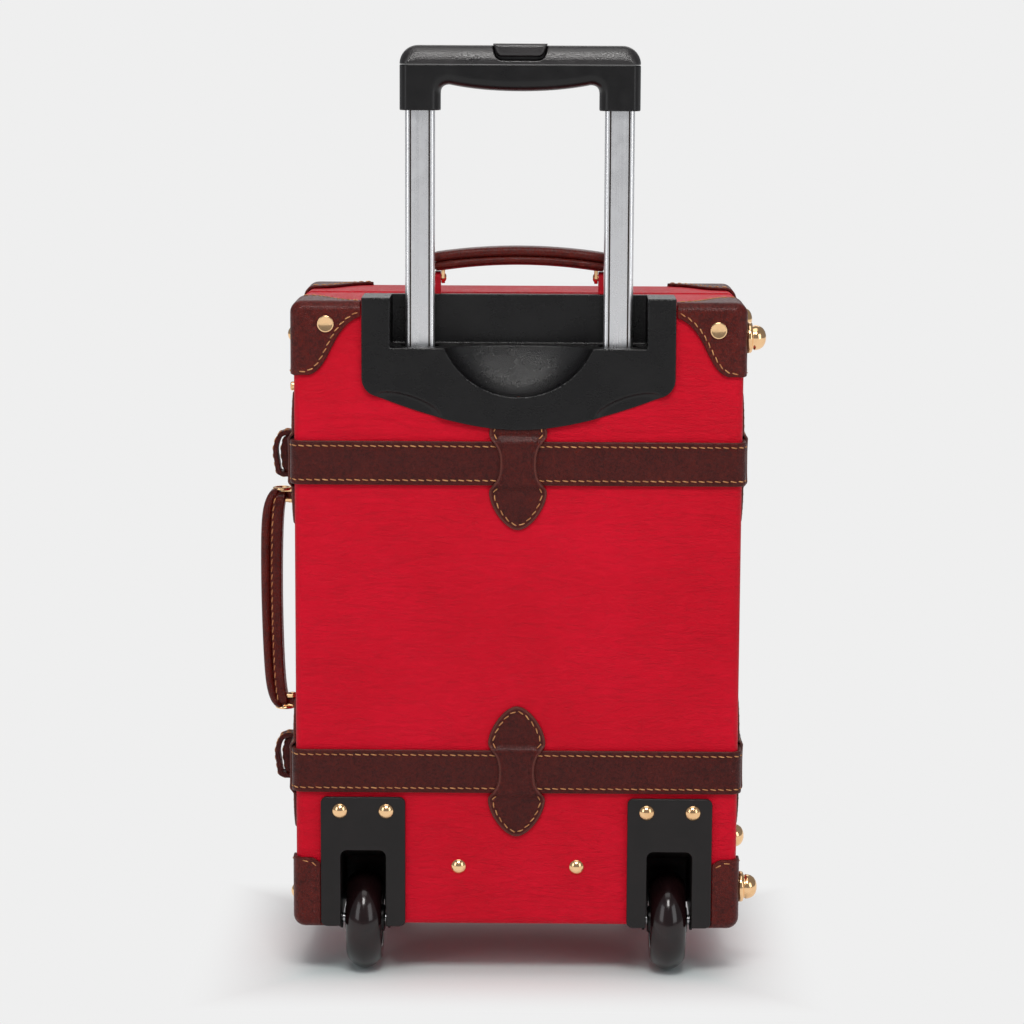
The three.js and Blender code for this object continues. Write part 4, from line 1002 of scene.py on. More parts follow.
def stitch_row(points, outward, closed=False):
    """Points and faces of a row of stitches along a line, given its outward directions."""
    line, lengths = walk(points, closed)
    directions = list(outward) + ([outward[0]] if closed else [])
    count = max(int(lengths[-1] / STITCH_PITCH), 1)
    real_pitch = lengths[-1] / count
    made_points, made_faces = [], []
    sides = 6
    for number in range(count):
        middle = (number + 0.5) * real_pitch
        rings = []
        for share, rise, thick in ((-0.5, -0.42, 0.6), (-0.36, 0.12, 0.95), (0, 0.3, 1.1),
                                   (0.36, 0.12, 0.95), (0.5, -0.42, 0.6)):
            point, index, part = along(line, lengths, middle + share * STITCH_LENGTH)
            following = directions[min(index + 1, len(directions) - 1)]
            out = directions[index].lerp(following, part).normalized()
            forward = (line[index + 1] - line[index]).normalized()
            sideways = forward.cross(out).normalized()
            centre = point + out * rise + sideways * share * STITCH_LEAN
            rings.append([centre + (out * up_share + sideways * side_share) * thick
                          for side_share, up_share in circle(0, 0, THREAD_RADIUS, sides)])
        first = len(made_points)
        made_points += [tuple(p) for ring in rings for p in ring]
        for r in range(len(rings) - 1):
            for k in range(sides):
                a, b = first + r * sides + k, first + r * sides + (k + 1) % sides
                made_faces.append((a, b, b + sides, a + sides))
        made_faces.append(tuple(range(first, first + sides)))
        made_faces.append(tuple(range(first + 4 * sides, first + 5 * sides)))
    return made_points, made_faces


def sew(name, rows, body, slot="belt_leather"):
    """Makes one piece from several rows of stitches, each (points, outward directions, closed)."""
    points, faces = [], []
    for run, outward, closed in rows:
        more_points, more_faces = stitch_row(run, outward, closed)
        start = len(points)
        points += more_points
        faces += [tuple(start + i for i in face) for face in more_faces]
    made = to_object(name, points, faces)
    return finish(made, thread, body, slot, sharp=70, weighted=False)


# %% [markdown]
# ## Belts
#
# Two belts run round the case. Each is a strap of leather folded over at its long edges, so its
# section is flat with round shoulders, and the line of stitches has pulled a shallow groove 4 mm
# from each edge. `belt` carries that section along a path round the case, bent at the same 6 mm
# edges as the shell.

# %% Belt section and path
BELT_WIDTH = 35
BELT_THICKNESS = 3
STITCH_INSET = 3.9
GROOVE_DEPTH = 0.42
GROOVE_HALF = 0.95


def strap_section(width, thickness, groove=True):
    """Half-round shouldered section as (across, out) points, with grooves under the stitches."""
    half = width / 2
    top = thickness
    side = [(half - 0.35, 0.0), (half, 0.7), (half, top - 1.0), (half - 0.3, top - 0.3), (half - 1.2, top)]
    if groove:
        line = half - STITCH_INSET
        side += [(line + GROOVE_HALF, top), (line + 0.35, top - GROOVE_DEPTH),
                 (line - 0.35, top - GROOVE_DEPTH), (line - GROOVE_HALF, top)]
    side += [(half * 0.5, top + 0.05)]
    other = [(-a, b) for a, b in reversed(side)]
    return side + [(0, top + 0.08)] + other


def path_round_case(start, end, growth, steps=8):
    """Walks round the case in plan from the hinge side over the back to the opening side.

    start and end are the depths where the walk begins and ends; a start above the case's middle
    belongs to the lid, and then the walk passes over the front instead of the back.
    """
    face = -growth if start < OPENING_Y else DEPTH + growth
    sign = 1 if start < OPENING_Y else -1
    radius = EDGE_RADIUS + growth
    x = SIDE + growth
    corner_y = face + sign * radius
    walk_points = [((x, start), (1, 0))]
    length = abs(start - corner_y)
    pieces = max(int(length / 6), 1)
    for i in range(1, pieces):
        walk_points.append(((x, start + (corner_y - start) * i / pieces), (1, 0)))
    for i in range(steps + 1):
        angle = math.pi / 2 * i / steps
        out = (math.cos(angle), -sign * math.sin(angle))
        walk_points.append(((x - radius + radius * out[0], corner_y + radius * out[1]), out))
    flat = 60
    for i in range(1, flat):
        share = i / flat
        walk_points.append((((x - radius) * (1 - 2 * share), face), (0, -sign)))
    for i in range(steps + 1):
        angle = math.pi / 2 * (1 - i / steps)
        out = (-math.cos(angle), -sign * math.sin(angle))
        walk_points.append(((-x + radius + radius * out[0], corner_y + radius * out[1]), out))
    length = abs(end - corner_y)
    pieces = max(int(length / 6), 1)
    for i in range(1, pieces + 1):
        walk_points.append(((-x, corner_y + (end - corner_y) * i / pieces), (-1, 0)))
    return walk_points


def add_rim(obj, width, height_of):
    """Stores how near each point is to the piece's cut edge, as the value called rim."""
    rim = obj.data.attributes.new("rim", "FLOAT", "POINT")
    origin = place(0, 0, 0)
    for vertex, item in zip(obj.data.vertices, rim.data):
        point = (vertex.co - origin) / MM
        item.value = min(max(1 - height_of(point) / width, 0.0), 1.0)


def belt(name, start, end, height, body, material, *nodes):
    """A belt at one height, and its two rows of stitches."""
    wander = 0.12
    section = strap_section(BELT_WIDTH, BELT_THICKNESS)
    rings = []
    walk_points = path_round_case(start, end, FIT)
    for i, ((x, y), (out_x, out_y)) in enumerate(walk_points):
        ring = []
        for across_belt, out in section:
            ripple = wander * noise.noise(Vector((i * 0.13, across_belt * 0.06, height)))
            push = out + (ripple if out > 2 else 0)
            ring.append((x + out_x * push, y + out_y * push, height + across_belt))
        rings.append(ring)
    made = loft(name, rings)
    add_rim(made, 1.1, lambda p: BELT_WIDTH / 2 - abs(p.z - height))
    finish(made, material, body, "belt_leather", *nodes, sharp=50)
    rows = []
    for side in (-1, 1):
        line = height + side * (BELT_WIDTH / 2 - STITCH_INSET)
        lift = BELT_THICKNESS - GROOVE_DEPTH + 0.1
        run = [Vector((x + ox * lift, y + oy * lift, line)) for (x, y), (ox, oy) in walk_points]
        rows.append((run, [Vector((ox, oy, 0)) for _, (ox, oy) in walk_points], False))
    sew(name + "_stitches", rows, body)
    return made


for level in ("upper", "lower"):
    low, high = measure("base_belt_" + level)
    belt_height = (low.z + high.z) / 2
    tip_low, tip_high = measure("strap_" + level)
    belt("base_belt_leather_" + level, high.y, tip_low.y - 2, belt_height, "case_base", belt_hide,
         "base_belt_" + level)
    low, high = measure("lid_belt_" + level)
    belt("lid_belt_leather_" + level, low.y, tip_high.y + 2, belt_height, "lid", belt_hide,
         "lid_belt_" + level)
    print(level, "belt at", round(belt_height, 1), "mm")
# %% [markdown]
# ## Figure-of-eight patches
#
# Where the belts pass over the middle of the back and of the sides, a patch shaped like a figure of
# eight holds them down. It lies on the case at its two lobes and steps up over the belt at its
# waist. `patch` builds it from its outline: rings of points step inwards from the cut edge, one of
# them lower for the stitch groove, and the middle is filled with a grid so that the leather can bend.

# %% Patch outline
KEEPER_WIDTH = 46
KEEPER_WAIST = 28.4
KEEPER_HEIGHT = 107
KEEPER_THICKNESS = 2.2


def keeper_outline(steps=12):
    """The figure of eight, anticlockwise, with its middle at zero."""
    half, waist, tip = KEEPER_WIDTH / 2, KEEPER_WAIST / 2, KEEPER_HEIGHT / 2
    neck = curve((waist, 0), (waist, 0.24 * tip), (0.80 * half, 0.28 * tip),
                 (half - 0.7, 0.385 * tip), steps=steps)
    turn_out = curve((half - 0.7, 0.385 * tip), (half, 0.41 * tip), (half, 0.45 * tip), steps=4)
    lobe = curve((half, 0.45 * tip), (0.96 * half, 0.68 * tip), (0.42 * half, tip), (0, tip),
                 steps=steps + 4)
    upper_right = neck + turn_out + lobe
    upper_left = [(-x, y) for x, y in reversed(upper_right)]
    upper = tidy_loop(upper_right + upper_left, 0.3)
    lower = [(-x, -y) for x, y in upper]
    return tidy_loop(upper + lower, 0.3)


def step_over_belt(v):
    """How far the leather is pushed up by the belt under it, at a distance from the belt's middle."""
    edge = BELT_WIDTH / 2
    share = min(max((edge + 4.6 - abs(v)) / 4.6, 0), 1)
    return (BELT_THICKNESS + FIT) * share * share * (3 - 2 * share)


def patch(name, outline, thickness, lay, rise_of, body, material, slot, *nodes, grid=2.6):
    """A flat leather patch with a rounded cut edge, a stitch groove and a bent middle.

    lay turns (u, v, height) into the case's millimetres; rise_of gives the height under the leather.
    """
    work = bmesh.new()
    rings = [(0.0, 0.0), (0.0, thickness * 0.55), (0.28, thickness * 0.86), (0.9, thickness),
             (STITCH_INSET - GROOVE_HALF, thickness), (STITCH_INSET - 0.3, thickness - GROOVE_DEPTH),
             (STITCH_INSET + 0.3, thickness - GROOVE_DEPTH), (STITCH_INSET + GROOVE_HALF, thickness)]
    loops = []
    for amount, height in rings:
        ring = inset(outline, amount) if amount else outline
        loops.append([work.verts.new((u, v, height)) for u, v in ring])
    count = len(outline)
    for low, high in zip(loops, loops[1:]):
        for k in range(count):
            work.faces.new((low[k], low[(k + 1) % count], high[(k + 1) % count], high[k]))
    under = work.faces.new(list(reversed(loops[0])))
    middle = work.faces.new(loops[-1])
    for face in (under, middle):
        level = face.verts[0].co.z
        low_u, high_u = min(v.co.x for v in face.verts), max(v.co.x for v in face.verts)
        low_v, high_v = min(v.co.y for v in face.verts), max(v.co.y for v in face.verts)
        pieces = [face]
        for axis, low, high in ((0, low_u, high_u), (1, low_v, high_v)):
            for i in range(1, int((high - low) / grid) + 1):
                point, direction = Vector((0, 0, level)), Vector((0, 0, 0))
                point[axis] = low + i * grid
                direction[axis] = 1
                geometry = pieces + list({e for f in pieces for e in f.edges})
                geometry += list({v for f in pieces for v in f.verts})
                result = bmesh.ops.bisect_plane(work, geom=geometry, plane_co=point, plane_no=direction)
                pieces = [g for g in result["geom"] if isinstance(g, bmesh.types.BMFace)]
    for vertex in work.verts:
        u, v, height = vertex.co
        bulge = 0.1 * noise.noise(Vector((u * 0.08, v * 0.08, 3.0))) if height > thickness * 0.9 else 0
        vertex.co = lay(u, v, height + rise_of(v) + bulge)
    mesh = bpy.data.meshes.new(name)
    edge_loops = {v for loop in loops[:4] for v in loop}
    work.verts.index_update()
    marks = [1.0 if v in edge_loops else 0.0 for v in work.verts]
    bmesh.ops.recalc_face_normals(work, faces=work.faces)
    work.to_mesh(mesh)
    work.free()
    for vertex in mesh.vertices:
        vertex.co = place(*vertex.co)
    made = bpy.data.objects.new(name, mesh)
    scene.collection.objects.link(made)
    rim = mesh.attributes.new("rim", "FLOAT", "POINT")
    for item, mark in zip(rim.data, marks):
        item.value = mark
    return finish(made, material, body, slot, *nodes, sharp=60)


def lay_on_back(centre_x, centre_z):
    return lambda u, v, h: Vector((centre_x + u, -FIT - h, centre_z + v))


def lay_on_front(centre_x, centre_z):
    return lambda u, v, h: Vector((centre_x - u, DEPTH + FIT + h, centre_z + v))


def lay_on_side(side, centre_y, centre_z):
    return lambda u, v, h: Vector((side * (SIDE + FIT + h), centre_y + side * u, centre_z + v))


def keeper(name, lay, body, *nodes, narrow=1.0):
    """A figure-of-eight patch with stitches round its two lobes."""
    outline = [(u * narrow, v) for u, v in keeper_outline()]
    patch(name, outline, KEEPER_THICKNESS, lay, step_over_belt, body, belt_hide, "belt_leather",
          *nodes)
    line = inset(outline, STITCH_INSET)
    height = KEEPER_THICKNESS - GROOVE_DEPTH + 0.1
    out = (Vector(lay(0, 0, 1)) - Vector(lay(0, 0, 0))).normalized()
    rows = []
    for level in (-1, 1):
        lobe = [(u, v) for u, v in line if v * level > BELT_WIDTH / 2 + 0.5]
        lobe.sort(key=lambda p: math.atan2(p[0], abs(p[1]) - BELT_WIDTH / 2))
        run = [Vector(lay(u, v, height + step_over_belt(v))) for u, v in lobe]
        rows.append((run, [out] * len(run), False))
    sew(name + "_stitches", rows, body)


SIDE_KEEPER_Y = 45
OPENING_KEEPER_Y = 27
for level in ("upper", "lower"):
    low, high = measure("base_belt_" + level)
    belt_height = (low.z + high.z) / 2
    keeper("back_keeper_leather_" + level, lay_on_back(0, belt_height), "case_base", "back_keeper_" + level)
    keeper("hinge_side_keeper_leather_" + level, lay_on_side(1, SIDE_KEEPER_Y, belt_height),
           "case_base", "side_keeper_" + level)
    keeper("opening_side_keeper_leather_" + level, lay_on_side(-1, OPENING_KEEPER_Y, belt_height),
           "case_base", narrow=0.84)
    keeper("front_keeper_leather_" + level, lay_on_front(0, belt_height), "lid")
print("patches: 8, outline of", len(keeper_outline()), "points")

# %% [markdown]
# ## Leather corners
#
# Each corner of the case is capped with leather that covers three faces and is trimmed to a long
# wave on each of them. Bending a flat patch round a corner would leave folds, so the cap is made the
# way it ends up: a 2.4 mm layer of the case's own soft box, kept only where three wavy prisms meet,
# then skinned and relaxed so that its edges are soft. The stitches follow the same waves, 4 mm in.

# %% Corner caps
CAP_OUT = 2.7
CAP_THICKNESS = 2.4
SPAN_WIDE = 56
SPAN_TALL = 60
SPAN_DEEP = {"base": 58, "lid": 52}


def wave(span_u, span_v, steps=18):
    """The trimmed edge of a cap on one face: u runs in from one edge, v away from the corner."""
    return curve((span_u, 0.2 * span_v), (0.5 * span_u, 0.38 * span_v),
                 (0.62 * span_u, 1.02 * span_v), (0.12 * span_u, span_v), steps=steps)


def cap_outline(span_u, span_v, to_first, to_second):
    outside = -20
    points = [(outside, outside), (span_u, outside)] + wave(span_u, span_v) + [(outside, 0.9 * span_v)]
    return [(to_first(u), to_second(v)) for u, v in points]


def cap(half, level, side):
    """A leather cap on one corner of the base or the lid, and its stitches."""
    name = f"{half}_corner_{'top' if level > 0 else 'bottom'}_{'left' if side < 0 else 'right'}"
    deep = SPAN_DEEP[half]
    edge_z = TOP + CAP_OUT if level > 0 else BOTTOM - CAP_OUT

    def to_x(u):
        return side * (SIDE + CAP_OUT - u)

    def to_z(v):
        return edge_z - level * v

    def to_y(d):
        return d - CAP_OUT if half == "base" else DEPTH + CAP_OUT - d

    layer = soft_block(name + "_leather", CAP_OUT)
    cut(layer, soft_block("inner", CAP_OUT - CAP_THICKNESS))
    keep(layer,
         prism("wave_back", cap_outline(SPAN_WIDE, SPAN_TALL, to_x, to_z), "Y", -FAR, FAR),
         prism("wave_side", cap_outline(deep, SPAN_TALL, to_y, to_z), "X", -FAR, FAR),
         prism("wave_end", cap_outline(SPAN_WIDE, deep, to_x, to_y), "Z", -FAR, FAR))
    if half == "base" and level > 0:
        cut(layer, block("plate_room", (-PLATE_HALF - FIT, -FAR, CENTRE_Z), (PLATE_HALF + FIT, FAR, FAR)))
    if half == "base" and level < 0:
        x = side * WHEEL_X
        wide = (housing_high.x - housing_low.x) / 2 + FIT
        cut(layer, block("housing_room", (x - wide, -FAR, -FAR), (x + wide, 0.3, housing_high.z + FIT)))
        well = WELL_HALF + WELL_WALL + 2.9
        cut(layer, block("well_room", (x - well, -FAR, -FAR), (x + well, 78.5, CENTRE_Z)))
    body = "case_base" if half == "base" else "lid"
    mould(layer, 0.62, 4, corner_hide, body, "corner_leather", name)

    rows = []
    face_y = -CAP_OUT if half == "base" else DEPTH + CAP_OUT
    out_y = Vector((0, -1 if half == "base" else 1, 0))
    back_start = 0
    if half == "base":
        back_start = (PLATE_HALF if level > 0 else WHEEL_X + wide) + 1.5
    waves = [
        (SPAN_WIDE, SPAN_TALL, lambda u, v: Vector((to_x(u), face_y, to_z(v))), out_y, "back"),
        (deep, SPAN_TALL, lambda d, v: Vector((side * (SIDE + CAP_OUT), to_y(d), to_z(v))),
         Vector((side, 0, 0)), "side"),
        (SPAN_WIDE, deep, lambda u, d: Vector((to_x(u), to_y(d), edge_z)), Vector((0, 0, level)), "end"),
    ]
    for span_u, span_v, lay, out, which in waves:
        line = wave(span_u, span_v, 30)
        moved = []
        for i, point in enumerate(line):
            before, after = Vector(line[max(i - 1, 0)]), Vector(line[min(i + 1, len(line) - 1)])
            forward = (after - before).normalized()
            inward = Vector((-forward.y, forward.x))
            if inward.dot(Vector((-1, -1))) < 0:
                inward = -inward
            moved.append(Vector(point) + inward * STITCH_INSET)
        reach = CAP_OUT + EDGE_RADIUS * 0.5
        run = [lay(p.x, p.y) for p in moved if p.x > reach and p.y > reach]
        if which == "back":
            run = [p for p in run if abs(p.x) > back_start]
        if which == "end" and half == "base" and level < 0:
            run = [p for p in run if abs(p.x) > WHEEL_X + well + 1 or p.y > 80]
        if len(run) > 3:
            rows.append((run, [out] * len(run), False))
    sew(name + "_stitches", rows, body, "corner_leather")


for half in ("base", "lid"):
    for level in (1, -1):
        for side in (-1, 1):
            cap(half, level, side)
print("corner caps: 8")
# %% [markdown]
# ## Handle plate
#
# One black moulding carries the telescopic handle. It has a flat apron on the case's back, a pocket
# that the folded grip drops into, a shallow bowl under the pocket for the fingers, two crescent
# scoops at its lower corners, and a flange that lies over the top of the case. It is carved as a
# solid, in the order a mould maker would cut it, and then `soften` rounds all of its edges at once.

# %% Handle plate
PLATE_SIDE_END = TOP - 58
PLATE_CORNER = 15
SCOOP_X = 87.1
SCOOP_Z = TOP - 80.8
FLANGE_DEPTH = 42
TUBE_X = POCKET_HALF - 23.05
TUBE_Y = 22


def plate_outline(growth=0.0):
    """The apron's outline: straight sides, round lower corners and a long shallow bottom curve."""
    half, radius = PLATE_HALF + growth, PLATE_CORNER + growth
    corner_x = PLATE_HALF - PLATE_CORNER
    lowest = PLATE_LOWEST - growth
    first_end = arc(-corner_x, PLATE_SIDE_END, radius, 180, 248.4, 14)
    bottom = curve(first_end[-1], (-corner_x * 0.42, lowest), (0, lowest), steps=26)
    left = [(-half, PLATE_TOP + growth), (-half, PLATE_SIDE_END)] + first_end + bottom
    right = [(-x, z) for x, z in reversed(left)]
    return tidy_loop(left + right, 0.05)


def handle_plate():
    """The moulded plate with its pocket, bowl, scoops and flange."""
    outline = plate_outline()
    made = prism("handle_plate_moulded", outline, "Y", PLATE_FACE, -FIT)
    half = POCKET_HALF + POCKET_WALL
    join(made,
         block("flange", (-PLATE_HALF, -FIT - 1, TOP + FIT),
               (PLATE_HALF, FLANGE_DEPTH - FIT, PLATE_TOP)),
         block("trough", (-half, -2, POCKET_FLOOR - POCKET_WALL),
               (half, POCKET_BACK + POCKET_WALL, PLATE_TOP)))
    shell = bowl_ball("bowl_shell", BOWL_WALL)
    keep(shell, block("below", (-half, -2, BOTTOM), (half, POCKET_BACK, POCKET_FLOOR - 1)))
    join(made, shell)
    cut(made, block("pocket", (-POCKET_HALF, -FAR, POCKET_FLOOR), (POCKET_HALF, POCKET_BACK, FAR)))
    cut(made, bowl_ball("bowl"))
    for side in (-1, 1):
        hole = rounded(23.3 + 6.6, 14 + 6.6, 7.5, side * TUBE_X, TUBE_Y)
        cut(made, prism("tube_hole", hole, "Z", POCKET_FLOOR - 6, POCKET_FLOOR + 2))
        for drop, long_radius, deep, tall_radius in ((0, 28, 4.6, 9.4), (2.6, 24, 6.4, 6.4)):
            middle = (side * SCOOP_X, PLATE_FACE - 0.4, SCOOP_Z - drop)
            lens = ball("scoop", middle, (long_radius, deep, tall_radius), 72, 48)
            turn_scoop = Matrix.Rotation(math.radians(side * -18.1), 4, "Y")
            centre = place(*middle)
            lens.data.transform(Matrix.Translation(centre) @ turn_scoop @ Matrix.Translation(-centre))
            keep(lens, block("front", (-FAR, -FAR, -FAR), (FAR, -FIT - 0.9, FAR)))
            cut(made, lens)
    return mould(made, 0.6, 3, plate_plastic, "case_base", "black_plastic", "handle_plate")


plate = handle_plate()
print("handle plate:", len(plate.data.polygons), "faces")

# %% [markdown]
# ## Wheel housings
#
# Each wheel runs in a moulded housing: a front plate with an opening that has round upper corners,
# a deep well behind it, and an ear on each side that holds the axle. It is carved the same way as
# the handle plate.

# %% Wheel housings
AXLE_Y = 30
WHEEL_RADIUS = 41
HOUSING_CORNER = 5
MOUTH_CORNER = 5.5
EAR_REACH = 8.5
AXLE_BORE = 4.3
HOUSING_FOOT = BOTTOM - 0.8


def well_outline(growth):
    """The well's side view, in depth and height."""
    front = AXLE_Y + WHEEL_RADIUS + 4.5 + growth
    mouth_top = BOTTOM + MOUTH_HEIGHT + growth
    wheel_top = 2 * WHEEL_RADIUS + 4.5 + growth
    round_back = curve((front, WHEEL_RADIUS * 1.5), (front, wheel_top),
                       (AXLE_Y + 20, wheel_top + 2), steps=12)
    return [(-4, HOUSING_FOOT), (front, HOUSING_FOOT)] + round_back + [(-4, mouth_top)]


def wheel_housing(side, node):
    """A housing with its mouth, well and axle ears."""
    x = side * WHEEL_X
    low, high = measure(node)
    middle = (HOUSING_FOOT + high.z) / 2
    front = rounded(high.x - low.x, high.z - HOUSING_FOOT, HOUSING_CORNER, x, middle, 12)
    made = prism(node + "_moulded", front, "Y", low.y, -FIT)
    outer = WELL_HALF + WELL_WALL
    behind = prism("well", well_outline(WELL_WALL), "X", x - outer, x + outer)
    join(made, keep(behind, block("behind", (-FAR, -1, -FAR), (FAR, FAR, FAR))))
    ear = prism("ear", circle(AXLE_Y, WHEEL_RADIUS, EAR_REACH, 40), "X", x - outer, x + outer)
    join(made, ear, block("ear_top", (x - outer, AXLE_Y - EAR_REACH, WHEEL_RADIUS),
                          (x + outer, AXLE_Y + EAR_REACH, BOTTOM + 4)))
    inside = prism("inside", well_outline(0), "X", x - WELL_HALF, x + WELL_HALF)
    keep(inside, block("behind_front", (-FAR, 0.8, -FAR), (FAR, FAR, FAR)))
    cut(made, inside,
        block("below", (x - WELL_HALF, -FAR, -FAR), (x + WELL_HALF, 75.5, BOTTOM + 1.5)))
    mouth = rounded(2 * WELL_HALF, 2 * MOUTH_HEIGHT, MOUTH_CORNER, x, HOUSING_FOOT, 10)
    cut(made, prism("mouth", mouth, "Y", -FAR, 1))
    cut(made, prism("bore", circle(AXLE_Y, WHEEL_RADIUS, AXLE_BORE, 32), "X", x - FAR, x + FAR))
    return mould(made, 0.62, 4, housing_plastic, "case_base", "black_plastic", node)


for hand, side in (("left", -1), ("right", 1)):
    made = wheel_housing(side, "wheel_housing_" + hand)
    print(made.name, len(made.data.polygons), "faces")

# %% [markdown]
# ## Wheels
#
# A skate wheel: a glossy tyre with a rounded-point tread, cast round a dark hub with five round
# holes, on a steel axle with domed heads. Turned pieces are made by spinning a fine profile.

# %% Wheels
TYRE_HALF = 13.5
HUB_RADIUS = 24
HUB_HALF = 12.6
HUB_HOLE = 3.1
HUB_HOLE_RING = 16.2


def tyre_profile():
    """Tyre section as (radius, along the axle), closed through the hub's seat."""
    inner = HUB_RADIUS + FIT
    shoulder = curve((inner, -TYRE_HALF + 0.2), (inner + 1.5, -TYRE_HALF - 1.0),
                     (inner + 7, -TYRE_HALF - 0.9), steps=8)
    flank = curve((inner + 7, -TYRE_HALF - 0.9), (WHEEL_RADIUS - 6, -TYRE_HALF + 0.4),
                  (WHEEL_RADIUS - 0.4, -TYRE_HALF * 0.5), (WHEEL_RADIUS, 0), steps=18)
    half = tidy_loop(shoulder + flank, 0.05)
    return half + [(r, -x) for r, x in reversed(half[:-1])]


def ring_turned(name, profile, centre, segments=96):
    """A turned ring about the X axis whose profile closes on itself."""
    rings = []
    for i in range(segments):
        angle = 2 * math.pi * i / segments
        rings.append([(centre[0] + a, centre[1] + r * math.cos(angle), centre[2] + r * math.sin(angle))
                      for r, a in profile])
    return loft(name, rings, closed=True)


def hub_profile():
    half = [(4.2, -16.4), (9.5, -16.4), (11, -15.2), (11.5, -HUB_HALF + 3.4), (12.4, -HUB_HALF + 2.8),
            (HUB_RADIUS - 4.4, -HUB_HALF + 2.6), (HUB_RADIUS - 3.2, -HUB_HALF + 0.3),
            (HUB_RADIUS - 2.2, -HUB_HALF), (HUB_RADIUS, -HUB_HALF)]
    return half + [(r, -x) for r, x in reversed(half)]


def axle_profile():
    return [(0, -23.4), (3.2, -23.3), (5.2, -22.9), (6.3, -22.1), (6.5, -21.4), (6.2, -21.0), (4, -21.0),
            (4, 21.0), (6.2, 21.0), (6.5, 21.4), (6.3, 22.1), (5.2, 22.9), (3.2, 23.3), (0, 23.4)]


for hand, side in (("left", -1), ("right", 1)):
    centre = (side * WHEEL_X, AXLE_Y, WHEEL_RADIUS)
    body = "wheel_" + hand
    finish(ring_turned("tyre_gloss_" + hand, tyre_profile(), centre, 128), tyre_gloss, body, "gloss_tyre",
           "tyre_" + hand, sharp=50, weighted=False)
    hub = ring_turned("hub_moulded_" + hand, hub_profile(), centre)
    for number in range(5):
        angle = 2 * math.pi * number / 5
        y = centre[1] + HUB_HOLE_RING * math.cos(angle)
        z = centre[2] + HUB_HOLE_RING * math.sin(angle)
        hole = circle(y, z, HUB_HOLE, 28)
        cut(hub, prism("hub_hole", hole, "X", centre[0] - 30, centre[0] + 30))
    finish(hub, hub_plastic, body, "hub_plastic", "hub_" + hand, sharp=40)
    axle = turned("axle_turned_" + hand, axle_profile(), "X", centre, 48)
    finish(axle, steel, "case_base", "steel_fittings", "axle_" + hand, sharp=50, weighted=False)
print("wheels at", round(WHEEL_X, 1), "mm each side of the middle")

# %% [markdown]
# ## Telescopic tubes
#
# The tubes are drawn aluminium with a flat face between two thin grooves, and bright round edges.
# A drawn tube has the same section all along, so one section is stretched between its two ends.

# %% Tubes
TUBE_WIDTH = 23.3
TUBE_DEEP = 14
TUBE_WALL = 1.6
TUBE_GROOVE = 0.8


def tube_section(width, deep, radius, groove):
    """Half a tube's outline is drawn and mirrored; the grooves sit each side of the flat face."""
    half, reach = width / 2, deep / 2
    line = half - radius - 0.35
    right = [(0, -reach)]
    if groove:
        deepest = -reach + TUBE_GROOVE
        right += [(line - 1.3, -reach), (line - 1.15, deepest), (line - 0.2, deepest),
                  (line, -reach)]
    right += arc(half - radius, -reach + radius, radius, -90, 0, 8)
    side = right + [(x, -y) for x, y in reversed(right)]
    left = [(-x, y) for x, y in reversed(side)]
    return tidy_loop(side + left)


def mark_grooves(obj, side, reach):
    """Marks the points at the bottom of the two front grooves, for the metal to darken."""
    marks = obj.data.attributes.new("groove", "FLOAT", "POINT")
    axis = place(side * TUBE_X, TUBE_Y, 0)
    for vertex, item in zip(obj.data.vertices, marks.data):
        away = (vertex.co - axis) / MM
        on_groove = reach - 1.1 < abs(away.y) < reach - 0.4 and 5 < abs(away.x) < 9.5
        item.value = 1.0 if on_groove else 0.0


def tube_bar(name, side, grown, radius, groove, low_z, high_z):
    """A solid bar with a tube's section, grown outwards by some millimetres."""
    outline = tube_section(TUBE_WIDTH + 2 * grown, TUBE_DEEP + 2 * grown, radius, groove)
    return prism(name, [(x + side * TUBE_X, y + TUBE_Y) for x, y in outline], "Z", low_z, high_z)


def tube(name, side, low_z, high_z, grown, body, node, material):
    """A hollow tube between two heights."""
    made = tube_bar(name, side, grown, 3.2 + grown, True, low_z, high_z)
    cut(made, tube_bar("bore", side, grown - TUBE_WALL, 1.8 + grown, False, low_z - 1, high_z + 1))
    mark_grooves(made, side, TUBE_DEEP / 2 + grown)
    slot = "aluminium_tube" if material == tube_metal else "steel_fittings"
    return finish(made, material, body, slot, node, sharp=32)


for hand, side in (("left", -1), ("right", 1)):
    for stage, grown, body, material in (
            ("upper", 0, "handle_upper_stage", tube_metal),
            ("middle", 1.5, "handle_lower_stage", tube_metal),
            ("outer", 3.0, "case_base", steel)):
        node = f"{stage}_tube_{hand}"
        low, high = measure(node)
        tube(node + "_drawn", side, low.z, high.z, grown, body, node, material)
print("tubes: 3 stages on each side")

# %% [markdown]
# ## Grip
#
# The grip is two mouldings that meet in a seam under its top. Its section is nearly a pill: the
# edges are rounded by 11 mm in depth, broadly over the top and more tightly down the legs. The block
# is made once and split, so that both halves flow into each other across the seam. The button sits
# in a recess cut to its own shape. A rib stands across the recess and a groove in the button takes
# it, so that no light shows under the button.

# %% Grip
GRIP_HALF = TUBE_X + 16.05
LEG_WIDTH = 32.3
leg_low, leg_high = measure("grip_lower_shell")
top_low, top_high = measure("grip_upper_shell")
LEG_BOTTOM = leg_low.z
GRIP_TOP = top_high.z
GRIP_SEAM = (leg_high.z + top_low.z) / 2
GRIP_EDGE = 11
BUTTON_RISE = 1.4
BUTTON_TALL = 10.3
BUTTON_TRAVEL = 2.5
RECESS_GAP = 0.7
RIB_HALF = 1.3
RIB_REACH = 3
RIB_TALL = 5.5


